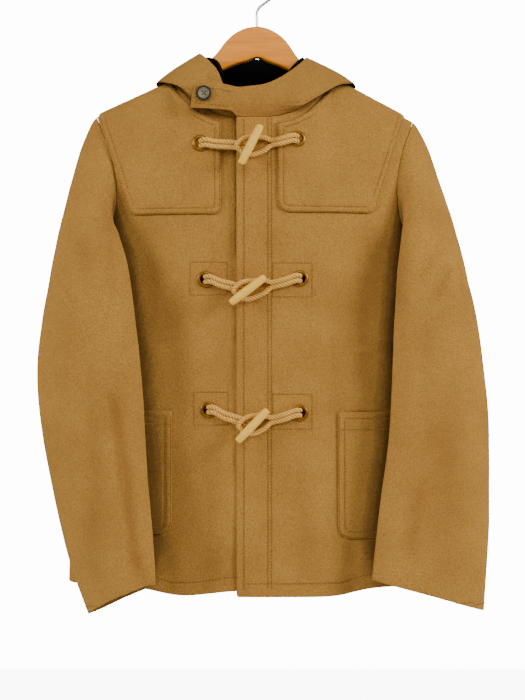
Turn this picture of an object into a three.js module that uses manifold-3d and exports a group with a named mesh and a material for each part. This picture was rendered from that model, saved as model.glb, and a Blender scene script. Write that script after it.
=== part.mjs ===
// A camel wool duffle coat on a wooden hanger with a steel hook, in millimetres.
// The front faces -Y, +Z is up, and the wearer's left is +X. The origin is the point inside the top of
// the hook that bears on a rail. Cloth is a thin wall built round its middle surface: a panel is a grid
// of points between its seams, and each wall that lies on a panel is made from the panel's own points.
import * as THREE from "three";
import Module from "manifold-3d";

const wasm = await Module();
wasm.setup();

// Driving sizes
const clothThick = 2.6;
const liningThick = 1.2;
const seamGap = 0.3;
const frontOverlap = 27;
const underReach = 28;
const roundOver = 75;
const neckTrim = 8;
const sectionPower = 0.9;
const hemHeight = -838.5;
const hemSideRise = 11;
const underHemRise = 8;
const underarmHeight = -388;
const underarmHalf = 238;
const eyeletHole = 7.9;
const ropeRadius = 2.9;
const toggleLength = 57;
const toggleRadius = 5.6;
const hangerThick = 14;
const hookWire = 4;
const hookInside = 45;

// Mesh density: cells along each seam
const neckCells = 7;
const shoulderCells = 5;
const backNeckCells = 6;
const skirtCells = 9;
const armholeSteps = [0, 0.09, 0.19, 0.3, 0.42, 0.54, 0.66, 0.77, 0.87, 0.935, 0.98, 1];

// Body sections from hem to neck: half width, depth of the front and of the back, and the side seam's y
const bodyRows = [
  { z: -860, half: 258, front: 61, back: 38, side: 3 },
  { z: -760, half: 255, front: 61, back: 38, side: 3 },
  { z: -600, half: 248, front: 61, back: 39, side: 3 },
  { z: -450, half: 242, front: 61, back: 40, side: 3 },
  { z: -388, half: 238, front: 61, back: 41, side: 3 },
  { z: -300, half: 236, front: 60, back: 42, side: 2 },
  { z: -200, half: 232, front: 57, back: 43, side: 1 },
  { z: -100, half: 230, front: 55, back: 43, side: 0 },
];

// Shoulder line from the right tip over the neck to the left tip
const shoulderRows = [
  { x: -219, z: -194 },
  { x: -110, z: -145 },
  { x: 0, z: -92 },
  { x: 95, z: -139 },
  { x: 212.5, z: -201 },
];

// Front armhole and back armhole from the shoulder tip to the underarm
const armholeRows = [
  { front: 216, back: 216, frontZ: -197, backZ: -197 },
  { front: 206.5, back: 210, frontZ: -218, backZ: -222 },
  { front: 197.5, back: 206, frontZ: -240, backZ: -250 },
  { front: 190.5, back: 205, frontZ: -264, backZ: -278 },
  { front: 187.5, back: 206, frontZ: -286, backZ: -304 },
  { front: 186, back: 208, frontZ: -310, backZ: -328 },
  { front: 191, back: 212, frontZ: -340, backZ: -350 },
  { front: 205, back: 220, frontZ: -366, backZ: -370 },
  { front: 222, back: 229, frontZ: -381, backZ: -382 },
  { front: 238, back: 238, frontZ: -388, backZ: -388 },
];

// Neckline as shares of the neck's half width
const frontNeckRows = [
  { share: -0.3, z: -204 },
  { share: 0, z: -204 },
  { share: 0.25, z: -204 },
  { share: 0.47, z: -199.5 },
  { share: 0.66, z: -190 },
  { share: 0.84, z: -173 },
  { share: 0.95, z: -157 },
  { share: 1, z: null },
];
const backNeckRows = [
  { share: 1, z: null },
  { share: 0.9, z: -143 },
  { share: 0.65, z: -145.5 },
  { share: 0.35, z: -147 },
  { share: 0, z: -147.5 },
];

// Soft troughs and ridges: a line from (x0, z0) to (x1, z1), its half width, and its depth into the body
const frontFolds = [
  { x0: -122, z0: -165, x1: -97, z1: -240, width: 14, depth: 5 },
  { x0: 108, z0: -176, x1: 84, z1: -232, width: 14, depth: 4 },
  { x0: -150, z0: -345, x1: -96, z1: -560, width: 28, depth: 3 },
  { x0: 146, z0: -350, x1: 104, z1: -540, width: 28, depth: 3 },
  { x0: -60, z0: -640, x1: -84, z1: -850, width: 26, depth: -3 },
  { x0: 66, z0: -650, x1: 88, z1: -850, width: 26, depth: -3 },
];
const backFolds = [
  { x0: -150, z0: -250, x1: -110, z1: -520, width: 30, depth: 6 },
  { x0: 150, z0: -250, x1: 110, z1: -520, width: 30, depth: 6 },
  { x0: -60, z0: -560, x1: -90, z1: -850, width: 32, depth: 6 },
  { x0: 62, z0: -560, x1: 92, z1: -850, width: 32, depth: 6 },
];

// Sleeve tubes below the armhole: centre, half length and half thickness of the oval, its turn, its tilt
const rightSleeveRows = [
  { z: -412, cx: -224, cy: -59, long: 62, thin: 26, turn: 22, tilt: 0 },
  { z: -480, cx: -225.5, cy: -59, long: 72, thin: 26, turn: 20, tilt: 0 },
  { z: -550, cx: -225, cy: -60, long: 80, thin: 25, turn: 20, tilt: 2 },
  { z: -630, cx: -218, cy: -64, long: 79, thin: 26, turn: 22, tilt: 6 },
  { z: -700, cx: -208.5, cy: -72, long: 76, thin: 27, turn: 25, tilt: 12 },
  { z: -770, cx: -197.5, cy: -78, long: 74, thin: 27, turn: 29, tilt: 19 },
  { z: -836, cx: -182, cy: -80, long: 62, thin: 27, turn: 33, tilt: 26 },
];
const leftSleeveRows = [
  { z: -412, cx: 234, cy: -56, long: 56, thin: 26, turn: 22, tilt: 0 },
  { z: -480, cx: 240, cy: -52, long: 66, thin: 25, turn: 21, tilt: 0 },
  { z: -550, cx: 243.5, cy: -50, long: 72, thin: 25, turn: 21, tilt: 2 },
  { z: -613, cx: 246, cy: -51, long: 77, thin: 24, turn: 20, tilt: 6 },
  { z: -663, cx: 242.5, cy: -53, long: 79, thin: 24, turn: 20, tilt: 11 },
  { z: -728, cx: 238, cy: -54, long: 83, thin: 23, turn: 19, tilt: 18 },
  { z: -836, cx: 230, cy: -56, long: 86, thin: 22, turn: 19, tilt: 26 },
];
const sleeveFolds = {
  right: [{ x0: -190, z0: -600, x1: -159, z1: -812, width: 15, depth: 9 }],
  left: [{ x0: 262, z0: -430, x1: 236, z1: -560, width: 20, depth: 5 }],
};

// Hood sections round the neck: base to edge over the fold. "at" counts 0 at the front edge, 1 at the
// shoulder, 2 at the centre back, and less than 0 along the throat tab that is cut in one with it.
// Where on its round, in degrees from the outer edge, a sleeve passes the foot of its armhole
const sleeveUnder = { left: 300, right: 314 };
const leftHoodRows = [
  {
    at: -0.4,
    rise: [-86.5, -63.4, -186],
    lap: [-85.5, -63.8, -180],
    fold: [-84, -64, -174],
    fall: [-82, -64, -164],
    edge: [-80.5, -63.5, -156],
  },
  {
    at: -0.2,
    rise: [-58, -65.4, -188],
    lap: [-57.5, -65.8, -182],
    fold: [-57, -66, -176],
    fall: [-56, -65.8, -167],
    edge: [-55, -65, -160],
  },
  {
    at: -0.03,
    rise: [-32, -64, -190],
    lap: [-31.5, -64.5, -184.5],
    fold: [-31, -64.5, -179],
    fall: [-30.5, -64, -171],
    edge: [-30, -62.5, -165],
  },
  {
    at: 0,
    rise: [-26.5, -58, -198],
    lap: [-26, -60.5, -190],
    fold: [-26, -61.5, -183],
    fall: [-25, -61.5, -174],
    edge: [-24.5, -60.5, -166],
  },
  {
    at: 0.146,
    rise: [0, -58.5, -198],
    lap: [-1, -61, -190],
    fold: [-3, -62, -183],
    fall: [-6, -61, -173],
    edge: [-8, -58.5, -163.5],
  },
  {
    at: 0.275,
    rise: [25, -59.5, -198],
    lap: [26.5, -63, -191.5],
    fold: [26, -65, -185.5],
    fall: [20, -63, -173],
    edge: [11, -57.5, -162.5],
  },
  {
    at: 0.39,
    rise: [46, -61, -195],
    lap: [52, -66.5, -192],
    fold: [56.5, -69, -187.5],
    fall: [46, -64, -169],
    edge: [31, -51.5, -152],
  },
  {
    at: 0.5,
    rise: [63, -60.5, -185],
    lap: [72, -65, -183],
    fold: [80, -66, -177],
    fall: [66.5, -57, -156],
    edge: [50.5, -39.5, -136],
  },
  {
    at: 0.645,
    rise: [83, -51.5, -165],
    lap: [96, -52, -162],
    fold: [106, -45, -158.5],
    fall: [88, -37, -138],
    edge: [62, -25, -122.5],
  },
  {
    at: 0.84,
    rise: [91, -31, -142.5],
    lap: [109, -31, -145],
    fold: [124, -26, -152],
    fall: [102, -22, -136.5],
    edge: [66, -17, -117],
  },
  {
    at: 1,
    rise: [92, -1, -131.5],
    lap: [113, -3, -136.5],
    fold: [136.5, -3, -149.5],
    fall: [113, -5, -133.5],
    edge: [66.5, -8, -113],
  },
  {
    at: 1.2,
    rise: [88, 16, -131],
    lap: [110, 26, -138],
    fold: [132, 30, -155],
    fall: [114, 35, -136],
    edge: [74, 28, -111],
  },
  {
    at: 1.45,
    rise: [62, 37, -113],
    lap: [80, 51, -120],
    fold: [98, 70, -225],
    fall: [94, 90, -175],
    edge: [70, 72, -118],
  },
  {
    at: 1.72,
    rise: [32, 43.5, -108],
    lap: [39, 55.5, -113],
    fold: [52, 71, -300],
    fall: [50, 97, -220],
    edge: [38, 92, -124],
  },
  {
    at: 2,
    rise: [0.15, 46, -107.5],
    lap: [0.15, 57.5, -112],
    fold: [0.15, 72, -338],
    fall: [0.15, 100, -230],
    edge: [0.15, 98, -126],
  },
];
// The lower edge of the throat tab, from its free end to the front edge
const tabRows = [
  { at: -0.4, low: [-87.5, -63, -193] },
  { at: -0.2, low: [-58, -65, -194.8] },
  { at: -0.03, low: [-31.5, -63.5, -196.8] },
];

const rightHoodRows = [
  {
    at: 0.25,
    rise: [-22, -50, -198],
    lap: [-23, -53, -190],
    fold: [-24, -54.5, -183],
    fall: [-25, -54.5, -174],
    edge: [-26, -53, -167],
  },
  {
    at: 0.37,
    rise: [-46, -54, -196],
    lap: [-48, -57, -189],
    fold: [-49, -57.5, -181],
    fall: [-43, -55.5, -167],
    edge: [-36, -52.5, -157],
  },
  {
    at: 0.48,
    rise: [-65, -57.5, -185.5],
    lap: [-71, -61, -182],
    fold: [-75, -61, -174],
    fall: [-62, -54, -158],
    edge: [-47, -46.5, -145.5],
  },
  {
    at: 0.62,
    rise: [-87, -54, -171],
    lap: [-96, -55, -167],
    fold: [-103, -50, -161],
    fall: [-84, -43, -143],
    edge: [-62, -32.5, -126.5],
  },
  {
    at: 0.8,
    rise: [-105, -34, -149],
    lap: [-117, -33, -149],
    fold: [-125, -28, -151],
    fall: [-103, -23, -132],
    edge: [-71, -20, -115],
  },
  {
    at: 1,
    rise: [-107, -1, -138],
    lap: [-123, -3, -141],
    fold: [-139.5, -3, -147],
    fall: [-116, -5, -129.5],
    edge: [-79, -8, -107],
  },
  {
    at: 1.2,
    rise: [-100, 17, -133],
    lap: [-114, 27, -139],
    fold: [-133, 30, -155],
    fall: [-118, 35, -132],
    edge: [-82, 28, -108],
  },
  {
    at: 1.45,
    rise: [-69, 37, -109],
    lap: [-84, 51, -117],
    fold: [-100, 70, -225],
    fall: [-96, 90, -172],
    edge: [-74, 72, -116],
  },
  {
    at: 1.72,
    rise: [-36, 43.5, -105.5],
    lap: [-42, 55.5, -111],
    fold: [-52, 71, -300],
    fall: [-50, 97, -220],
    edge: [-39, 92, -124],
  },
  {
    at: 2,
    rise: [-0.15, 46, -107.5],
    lap: [-0.15, 57.5, -112],
    fold: [-0.15, 72, -338],
    fall: [-0.15, 100, -230],
    edge: [-0.15, 98, -126],
  },
];

// Lining at the two sides of the neck; round the back it follows the hood's own points
const rightLiningRows = [
  { base: [-68, -47, -182], mid: [-58, -43, -163], top: [-44, -38, -144], end: [-46, -41, -144] },
  { base: [-82, -43, -172], mid: [-63, -38, -150], top: [-47.5, -30, -129], end: [-52, -34, -130] },
  { base: [-92, -32, -160], mid: [-72, -28, -136], top: [-55, -18, -117], end: [-60, -22, -117] },
  { base: [-104, -4, -141], mid: [-85, -4, -122], top: [-66, -3, -112], end: [-71, -4, -112] },
];
const leftLiningRows = [
  { base: [88, -3, -134.5], mid: [74, -3, -121.5], top: [60, -3, -111.5], end: [62.5, -4, -112.2] },
  { base: [80, -30, -157], mid: [65, -28, -140], top: [52, -19, -122.5], end: [56, -21, -123] },
  { base: [67, -40, -173], mid: [56, -36, -154], top: [44, -29, -133], end: [47, -32, -133] },
  { base: [56, -45, -182], mid: [48, -42, -163], top: [39, -36, -143], end: [41, -38.5, -143] },
];

// Front closures: the eyelets' places, the toggle's two ends, its lean, and how far it settles on its ropes
const closures = [
  {
    ...{ rightX: -74.5, rightZ: -238.5, leftX: 53, leftZ: -233.5 },
    ...{ x0: -21, z0: -269.5, x1: 5.5, z1: -218, lean: 0, seat: 0.8 },
  },
  {
    ...{ rightX: -68, rightZ: -418.5, leftX: 57, leftZ: -417.5 },
    ...{ x0: -32.5, z0: -449.5, x1: 9, z1: -418, lean: 4, seat: 2.7 },
  },
  {
    ...{ rightX: -64, rightZ: -591, leftX: 57, leftZ: -595 },
    ...{ x0: -23.5, z0: -629.5, x1: 12.5, z1: -592, lean: 4, seat: 3.1 },
  },
];

// Shoulder yokes and patch pockets, seen from the front: edges and corner radii
const yokes = {
  right: { inner: -47.5, bottom: -332, outerTop: -230, outerBottom: -168, radius: 11.5 },
  left: { inner: 27, bottom: -330, outerTop: 215, outerBottom: 156, radius: 19 },
};
const pockets = {
  right: { inner: -112, outer: -222, top: -592, bottom: -756, radius: 20 },
  left: { inner: 107, outer: 219, top: -594, bottom: -762, radius: 20 },
};

const vec = (x, y, z) => new THREE.Vector3(x, y, z);
const mix = (a, b, t) => a + (b - a) * t;
const clamp01 = (t) => Math.min(Math.max(t, 0), 1);
const smooth = (t) => clamp01(t) ** 2 * (3 - 2 * clamp01(t));
const degrees = (angle) => (angle * Math.PI) / 180;

// A table read at a value of its key column: each column is a smooth curve through the rows.
function read(rows, key, value) {
  const last = rows.length - 1;
  const up = Math.sign(rows[last][key] - rows[0][key]);
  let i = 0;
  while (i < last - 1 && (value - rows[i + 1][key]) * up > 0) i += 1;
  const span = rows[i + 1][key] - rows[i][key];
  const t = clamp01((value - rows[i][key]) / span);
  const curve = (pick) => {
    const slope = (k) => {
      const a = Math.max(k - 1, 0);
      const b = Math.min(k + 1, last);
      return ((pick(rows[b]) - pick(rows[a])) / (rows[b][key] - rows[a][key])) * span;
    };
    const p = pick(rows[i]);
    const q = pick(rows[i + 1]);
    const rise = 3 * (q - p) - 2 * slope(i) - slope(i + 1);
    return p + t * (slope(i) + t * (rise + t * (slope(i) + slope(i + 1) - 2 * (q - p))));
  };
  const found = {};
  for (const name of Object.keys(rows[0])) {
    found[name] = Array.isArray(rows[0][name])
      ? [0, 1, 2].map((k) => curve((row) => row[name][k]))
      : curve((row) => row[name]);
  }
  return found;
}

// Points spread over a curve: "cells" equal steps along its length, or the given shares of it.
function spread(points, cells) {
  const shares = Array.isArray(cells) ? cells : [...Array(cells + 1).keys()].map((k) => k / cells);
  const curve = new THREE.CatmullRomCurve3(points, false, "centripetal");
  curve.arcLengthDivisions = 400;
  return shares.map((share) => curve.getPointAt(share));
}

function shoulderZ(x) {
  let i = 0;
  while (i < shoulderRows.length - 2 && x > shoulderRows[i + 1].x) i += 1;
  const a = shoulderRows[i];
  const b = shoulderRows[i + 1];
  return mix(a.z, b.z, (x - a.x) / (b.x - a.x));
}

// How far the folds push a point of a panel into the body.
function foldDepth(folds, x, z) {
  let depth = 0;
  for (const fold of folds) {
    const dx = fold.x1 - fold.x0;
    const dz = fold.z1 - fold.z0;
    const along = ((x - fold.x0) * dx + (z - fold.z0) * dz) / (dx * dx + dz * dz);
    const off = Math.abs((x - fold.x0) * dz - (z - fold.z0) * dx) / Math.hypot(dx, dz);
    const ends = smooth((along + 0.25) / 0.4) * smooth((1.25 - along) / 0.4);
    depth += fold.depth * ends * Math.exp(-((off / fold.width) ** 2));
  }
  return depth;
}

// The body's middle surface at (x, z), on the front (face -1) or the back (face 1).
function bodyY(face, x, z) {
  const row = read(bodyRows, "z", z);
  const share = Math.min(Math.abs(x) / row.half, 1);
  const bulge = (1 - share * share) ** (sectionPower / 2);
  const flat = row.side + face * (face < 0 ? row.front : row.back) * bulge;
  const over = clamp01((shoulderZ(x) - z) / roundOver);
  const fold = face < 0 ? foldDepth(frontFolds, x, z) : foldDepth(backFolds, x, z);
  return (flat - face * fold * bulge) * Math.sqrt(1 - (1 - over) ** 2);
}

// The under front lies deeper than the one that laps over it, most of all at the top.
function underRecess(x, z) {
  const deep = mix(3.6, 8.5, smooth((z + 460) / 200));
  return deep * smooth((x + 105) / 75);
}

function hemZ(x) {
  return hemHeight + hemSideRise * smooth((Math.abs(x) - 105) / 50);
}

// The edges of a panel on one side (1 left, -1 right), as points of its flat outline (x, z).
function armholeEdge(side, face) {
  const tip = side > 0 ? shoulderRows[4] : shoulderRows[0];
  return armholeRows.map((row) => {
    const x = face < 0 ? row.front : row.back;
    const z = face < 0 ? row.frontZ : row.backZ;
    const near = smooth((z + 290) / 90);
    return vec(side * (x + (Math.abs(tip.x) - 216) * near), 0, z + (tip.z + 197) * near);
  });
}

function neckHalf(side) {
  return side > 0 ? shoulderRows[3].x : -shoulderRows[1].x;
}

function neckEdge(side, face) {
  const rows = face < 0 ? frontNeckRows : backNeckRows;
  const half = neckHalf(side);
  return rows.map((row) => vec(side * row.share * half, 0, row.z ?? shoulderZ(side * half)));
}

function onBody(face, under, p) {
  const y = bodyY(face, p.x, p.z) + (under ? underRecess(p.x, p.z) : 0);
  return vec(p.x, y, p.z);
}

// A closed loop of edges filled in: each point is set by the four edges of the panel.
function coons(bottom, top, start, end, i, j, u, v) {
  const across = (k) => mix(start[j].getComponent(k), end[j].getComponent(k), u);
  const down = (k) => mix(bottom[i].getComponent(k), top[i].getComponent(k), v);
  const last = bottom.length - 1;
  const corners = (k) =>
    mix(
      mix(bottom[0].getComponent(k), bottom[last].getComponent(k), u),
      mix(top[0].getComponent(k), top[last].getComponent(k), u),
      v,
    );
  return vec(across(0) + down(0) - corners(0), 0, across(2) + down(2) - corners(2));
}

// Unit normals of a grid of points, from the points beside each one.
function normalsOf(points, closed) {
  const rows = points.length;
  const columns = points[0].length;
  return points.map((line, j) =>
    line.map((_, i) => {
      const left = closed ? (i + columns - 1) % columns : Math.max(i - 1, 0);
      const right = closed ? (i + 1) % columns : Math.min(i + 1, columns - 1);
      const across = points[j][right].clone().sub(points[j][left]);
      const along = points[Math.min(j + 1, rows - 1)][i].clone().sub(points[Math.max(j - 1, 0)][i]);
      return across.cross(along).normalize();
    }),
  );
}

// A wall of cloth between two offsets of a grid of points. The normals point out of the coat.
function wall(grid, inner, outer) {
  const rows = grid.points.length;
  const columns = grid.points[0].length;
  const positions = [];
  for (const offset of [outer, inner])
    for (let j = 0; j < rows; j += 1)
      for (let i = 0; i < columns; i += 1) {
        const p = grid.points[j][i].clone().addScaledVector(grid.normals[j][i], offset);
        positions.push(p.x, p.y, p.z);
      }
  const out = (j, i) => j * columns + (i % columns);
  const inn = (j, i) => rows * columns + out(j, i);
  const index = [];
  const quad = (a, b, c, d) => index.push(a, b, c, a, c, d);
  const cells = grid.closed ? columns : columns - 1;
  for (let j = 0; j < rows - 1; j += 1)
    for (let i = 0; i < cells; i += 1) {
      quad(out(j, i), out(j, i + 1), out(j + 1, i + 1), out(j + 1, i));
      quad(inn(j, i), inn(j + 1, i), inn(j + 1, i + 1), inn(j, i + 1));
    }
  for (let i = 0; i < cells; i += 1) {
    quad(out(0, i + 1), out(0, i), inn(0, i), inn(0, i + 1));
    quad(out(rows - 1, i), out(rows - 1, i + 1), inn(rows - 1, i + 1), inn(rows - 1, i));
  }
  if (!grid.closed)
    for (let j = 0; j < rows - 1; j += 1) {
      quad(out(j, 0), out(j + 1, 0), inn(j + 1, 0), inn(j, 0));
      quad(out(j + 1, columns - 1), out(j, columns - 1), inn(j, columns - 1), inn(j + 1, columns - 1));
    }
  const geometry = new THREE.BufferGeometry();
  geometry.setAttribute("position", new THREE.Float32BufferAttribute(positions, 3));
  geometry.setIndex(index);
  return geometry;
}

// Solids that are cut, joined or shared go through manifold.
function solidOf(geometry) {
  const plain = geometry.index ? geometry : indexed(geometry);
  return new wasm.Manifold(
    new wasm.Mesh({
      numProp: 3,
      vertProperties: new Float32Array(plain.attributes.position.array),
      triVerts: new Uint32Array(plain.index.array),
    }),
  );
}

function indexed(geometry) {
  const source = (geometry.index ? geometry.toNonIndexed() : geometry).attributes.position;
  const seen = new Map();
  const positions = [];
  const index = [];
  for (let i = 0; i < source.count; i += 1) {
    const p = [source.getX(i), source.getY(i), source.getZ(i)];
    const key = p.map((c) => Math.round(c * 1e4)).join();
    if (!seen.has(key)) {
      seen.set(key, positions.length / 3);
      positions.push(...p);
    }
    index.push(seen.get(key));
  }
  const made = new THREE.BufferGeometry();
  const kept = [];
  for (let i = 0; i < index.length; i += 3) {
    const [a, b, c] = index.slice(i, i + 3);
    if (a !== b && b !== c && c !== a) kept.push(a, b, c);
  }
  made.setAttribute("position", new THREE.Float32BufferAttribute(positions, 3));
  made.setIndex(kept);
  return made;
}

function geometryOf(solid) {
  const mesh = solid.getMesh();
  const positions = [];
  for (let i = 0; i < mesh.numVert; i += 1)
    for (let k = 0; k < 3; k += 1) positions.push(mesh.vertProperties[i * mesh.numProp + k]);
  const geometry = new THREE.BufferGeometry();
  geometry.setAttribute("position", new THREE.Float32BufferAttribute(positions, 3));
  geometry.setIndex([...mesh.triVerts]);
  return geometry;
}

// Panels. A grid's columns run from the inner edge to the side seam, and its rows from hem to shoulder.
function frontGrid(side) {
  const under = side < 0;
  const inner = under ? -underReach : -frontOverlap;
  const place = (p) => onBody(-1, under, p);
  const neck = [vec(side * inner, 0, -204), ...neckEdge(side, -1).slice(1)];
  const neckLine = spread(fine(neck).map(place), neckCells);
  const tip = armholeEdge(side, -1)[0];
  const shoulder = [];
  for (let k = 1; k <= shoulderCells; k += 1) {
    const x = mix(side * neckHalf(side), tip.x, k / shoulderCells);
    shoulder.push(vec(x, 0, shoulderZ(x)));
  }
  const top = [...neckLine.map((p) => vec(p.x, 0, p.z)), ...shoulder];
  const armhole = spread(fine(armholeEdge(side, -1)).map(place), [...armholeSteps].map((t) => 1 - t).reverse());
  const end = armhole.reverse().map((p) => vec(p.x, 0, p.z));
  const columns = top.length - 1;
  const half = (z) => read(bodyRows, "z", z).half;
  const first = Math.asin(inner / 238);
  const turn = (i) => mix(first, Math.PI / 2, i / columns);
  const level = (z) => top.map((_, i) => vec(side * half(z) * Math.sin(turn(i)), 0, z));
  const under0 = level(underarmHeight);
  const start = armholeSteps.map((_, j) => vec(side * inner, 0, mix(underarmHeight, -204, armShare(end, j))));
  under0[0].x = side * inner;
  const points = [];
  for (let j = 0; j < skirtCells; j += 1) {
    const share = j / skirtCells;
    points.push(
      top.map((_, i) => {
        const guess = side * 257 * Math.sin(turn(i));
        const rise = under ? underHemRise * smooth((100 - Math.abs(guess + 0)) / 75) * (guess < 60 ? 1 : 0) : 0;
        const z = mix(hemZ(guess) + rise, underarmHeight, share);
        const x = i === 0 ? side * inner : side * half(z) * Math.sin(turn(i));
        return place(vec(x, 0, z));
      }),
    );
  }
  for (let j = 0; j < armholeSteps.length; j += 1)
    points.push(
      top.map((_, i) => place(coons(under0, top, start, end, i, j, i / columns, armShare(end, j)))),
    );
  return finish(points, side, -1);
}

// The share of the armhole's height at one of its points, so that the other edges rise with it.
function armShare(edge, j) {
  return (edge[j].z - edge[0].z) / (edge[edge.length - 1].z - edge[0].z);
}

// The same curve with more points, so that laying it on the body keeps its shape.
function fine(points) {
  return new THREE.CatmullRomCurve3(points, false, "centripetal").getPoints(80);
}

// Seams are parted by the gap: the side seam and the shoulder seam step back from y = 0 of the seam.
function finish(points, side, face) {
  const last = points[0].length - 1;
  const top = points.length - 1;
  const part = (face * seamGap) / 2;
  if (face < 0) {
    for (let j = 0; j <= skirtCells; j += 1) points[j][last].y += part;
    for (let i = neckCells; i <= last; i += 1) points[top][i].y += part;
  } else {
    for (let j = 0; j <= skirtCells; j += 1) {
      points[j][last].y += part;
      points[j][0].y += part;
    }
    for (let i = 0; i <= last; i += 1)
      if (i <= shoulderCells || i >= last - shoulderCells) points[top][i].y += part;
  }
  const normals = normalsOf(points, false);
  const flip = normals[4][4].y * face < 0 ? -1 : 1;
  normals.forEach((line) => line.forEach((n) => n.multiplyScalar(flip)));
  const square = (n) => n.setY(0).normalize();
  for (let j = 0; j <= skirtCells; j += 1) {
    square(normals[j][last]);
    if (face > 0) square(normals[j][0]);
  }
  for (let i = 0; i <= last; i += 1)
    if (face < 0 ? i >= neckCells : i <= shoulderCells || i >= last - shoulderCells) square(normals[top][i]);
  return { points, normals, closed: false, flip };
}

function backGrid() {
  const place = (p) => onBody(1, false, p);
  const half = (z) => read(bodyRows, "z", z).half;
  const edge = (side) => {
    const neck = spread(fine(neckEdge(side, 1)).map(place), backNeckCells);
    const tip = armholeEdge(side, 1)[0];
    const line = [];
    for (let k = shoulderCells; k >= 1; k -= 1) {
      const x = mix(side * neckHalf(side), tip.x, k / shoulderCells);
      line.push(vec(x, 0, shoulderZ(x)));
    }
    return [...line, ...neck.map((p) => vec(p.x, 0, p.z))];
  };
  const top = [...edge(-1), ...edge(1).reverse().slice(1)];
  const columns = top.length - 1;
  const arm = (side) =>
    spread(fine(armholeEdge(side, 1)).map(place), [...armholeSteps].map((t) => 1 - t).reverse())
      .reverse()
      .map((p) => vec(p.x, 0, p.z));
  const start = arm(-1);
  const end = arm(1);
  const turn = (i) => mix(-Math.PI / 2, Math.PI / 2, i / columns);
  const under = top.map((_, i) => vec(half(underarmHeight) * Math.sin(turn(i)), 0, underarmHeight));
  const points = [];
  for (let j = 0; j < skirtCells; j += 1)
    points.push(
      top.map((_, i) => {
        const z = mix(hemZ(257 * Math.sin(turn(i))), underarmHeight, j / skirtCells);
        return place(vec(half(z) * Math.sin(turn(i)), 0, z));
      }),
    );
  for (let j = 0; j < armholeSteps.length; j += 1)
    points.push(
      top.map((_, i) => place(coons(under, top, start, end, i, j, i / columns, armShare(end, j)))),
    );
  return finish(points, 1, 1);
}

const fronts = { left: frontGrid(1), right: frontGrid(-1) };
const back = backGrid();

// A wall whose faces are wound to match the side that its normals point to.
function panel(grid, inner, outer) {
  const a = grid.points[0][0];
  const b = grid.points[0][1];
  const c = grid.points[1][0];
  const facing = b.clone().sub(a).cross(c.clone().sub(a)).dot(grid.normals[0][0]);
  return facing > 0 ? wall(grid, inner, outer) : wall(mirrored(grid), inner, outer);
}

function mirrored(grid) {
  return {
    points: grid.points.map((line) => [...line].reverse()),
    normals: grid.normals.map((line) => [...line].reverse()),
    closed: grid.closed,
  };
}

// A flat outline (x, z) pushed through the coat's front, to cut a piece out of a wall that lies there.
function prism(outline, near, far) {
  const shape = new THREE.Shape(outline.map((p) => new THREE.Vector2(p.x, p.z)));
  const geometry = new THREE.ExtrudeGeometry(shape, { depth: far - near, bevelEnabled: false });
  geometry.rotateX(Math.PI / 2);
  geometry.translate(0, far, 0);
  return solidOf(geometry);
}

function rounded(corners) {
  const outline = [];
  corners.forEach((corner, i) => {
    const before = corners[(i + corners.length - 1) % corners.length];
    const after = corners[(i + 1) % corners.length];
    if (!corner.radius) {
      outline.push(vec(corner.x, 0, corner.z));
      return;
    }
    const here = vec(corner.x, 0, corner.z);
    const from = vec(before.x, 0, before.z).sub(here).normalize().multiplyScalar(corner.radius);
    const to = vec(after.x, 0, after.z).sub(here).normalize().multiplyScalar(corner.radius);
    for (let k = 0; k <= 4; k += 1) {
      const t = k / 4;
      outline.push(
        here
          .clone()
          .addScaledVector(from, (1 - t) ** 2)
          .addScaledVector(to, t ** 2),
      );
    }
  });
  return outline;
}

function hole(place, radius) {
  const pin = new THREE.CylinderGeometry(radius, radius, 30, 14);
  pin.applyQuaternion(new THREE.Quaternion().setFromUnitVectors(vec(0, 1, 0), place.normal));
  pin.translate(place.point.x, place.point.y, place.point.z);
  return solidOf(indexed(pin));
}

const half = clothThick / 2;
const layIn = half + seamGap + 0.1;
const layOut = layIn + clothThick;

// Where walls lie in front of or behind a point (x, z): the first and the last face along +Y.
const probe = new THREE.Raycaster();
const bothSides = new THREE.MeshBasicMaterial({ side: THREE.DoubleSide });
function facesAt(geometries, x, z) {
  probe.set(vec(x, -300, z), vec(0, 1, 0));
  const hits = geometries.flatMap((g) => probe.intersectObject(new THREE.Mesh(g, bothSides)));
  const found = hits.map((hit) => hit.point.y).filter((y) => y < -15);
  return { outer: Math.min(...found), inner: Math.max(...found) };
}

// An eyelet stands square to the walls that it goes through, and clears their facets.
function eyeletPlace(geometries, x, z) {
  const ring = [...Array(8).keys()].map((k) => {
    const a = (k * Math.PI) / 4;
    const dx = 10 * Math.cos(a);
    const dz = 10 * Math.sin(a);
    const faces = facesAt(geometries, x + dx, z + dz);
    return { dx, dz, ...faces };
  });
  const slopeX = (ring[0].outer - ring[4].outer) / 20;
  const slopeZ = (ring[2].outer - ring[6].outer) / 20;
  const normal = vec(slopeX, -1, slopeZ).normalize();
  const centre = facesAt(geometries, x, z);
  const flat = (v) => v.dx * slopeX + v.dz * slopeZ;
  const outer = Math.min(centre.outer, ...ring.map((v) => v.outer - flat(v)));
  const inner = Math.max(centre.inner, ...ring.map((v) => v.inner - flat(v)));
  return { point: vec(x, (outer + inner) / 2, z), normal, depth: inner - outer };
}

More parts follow.
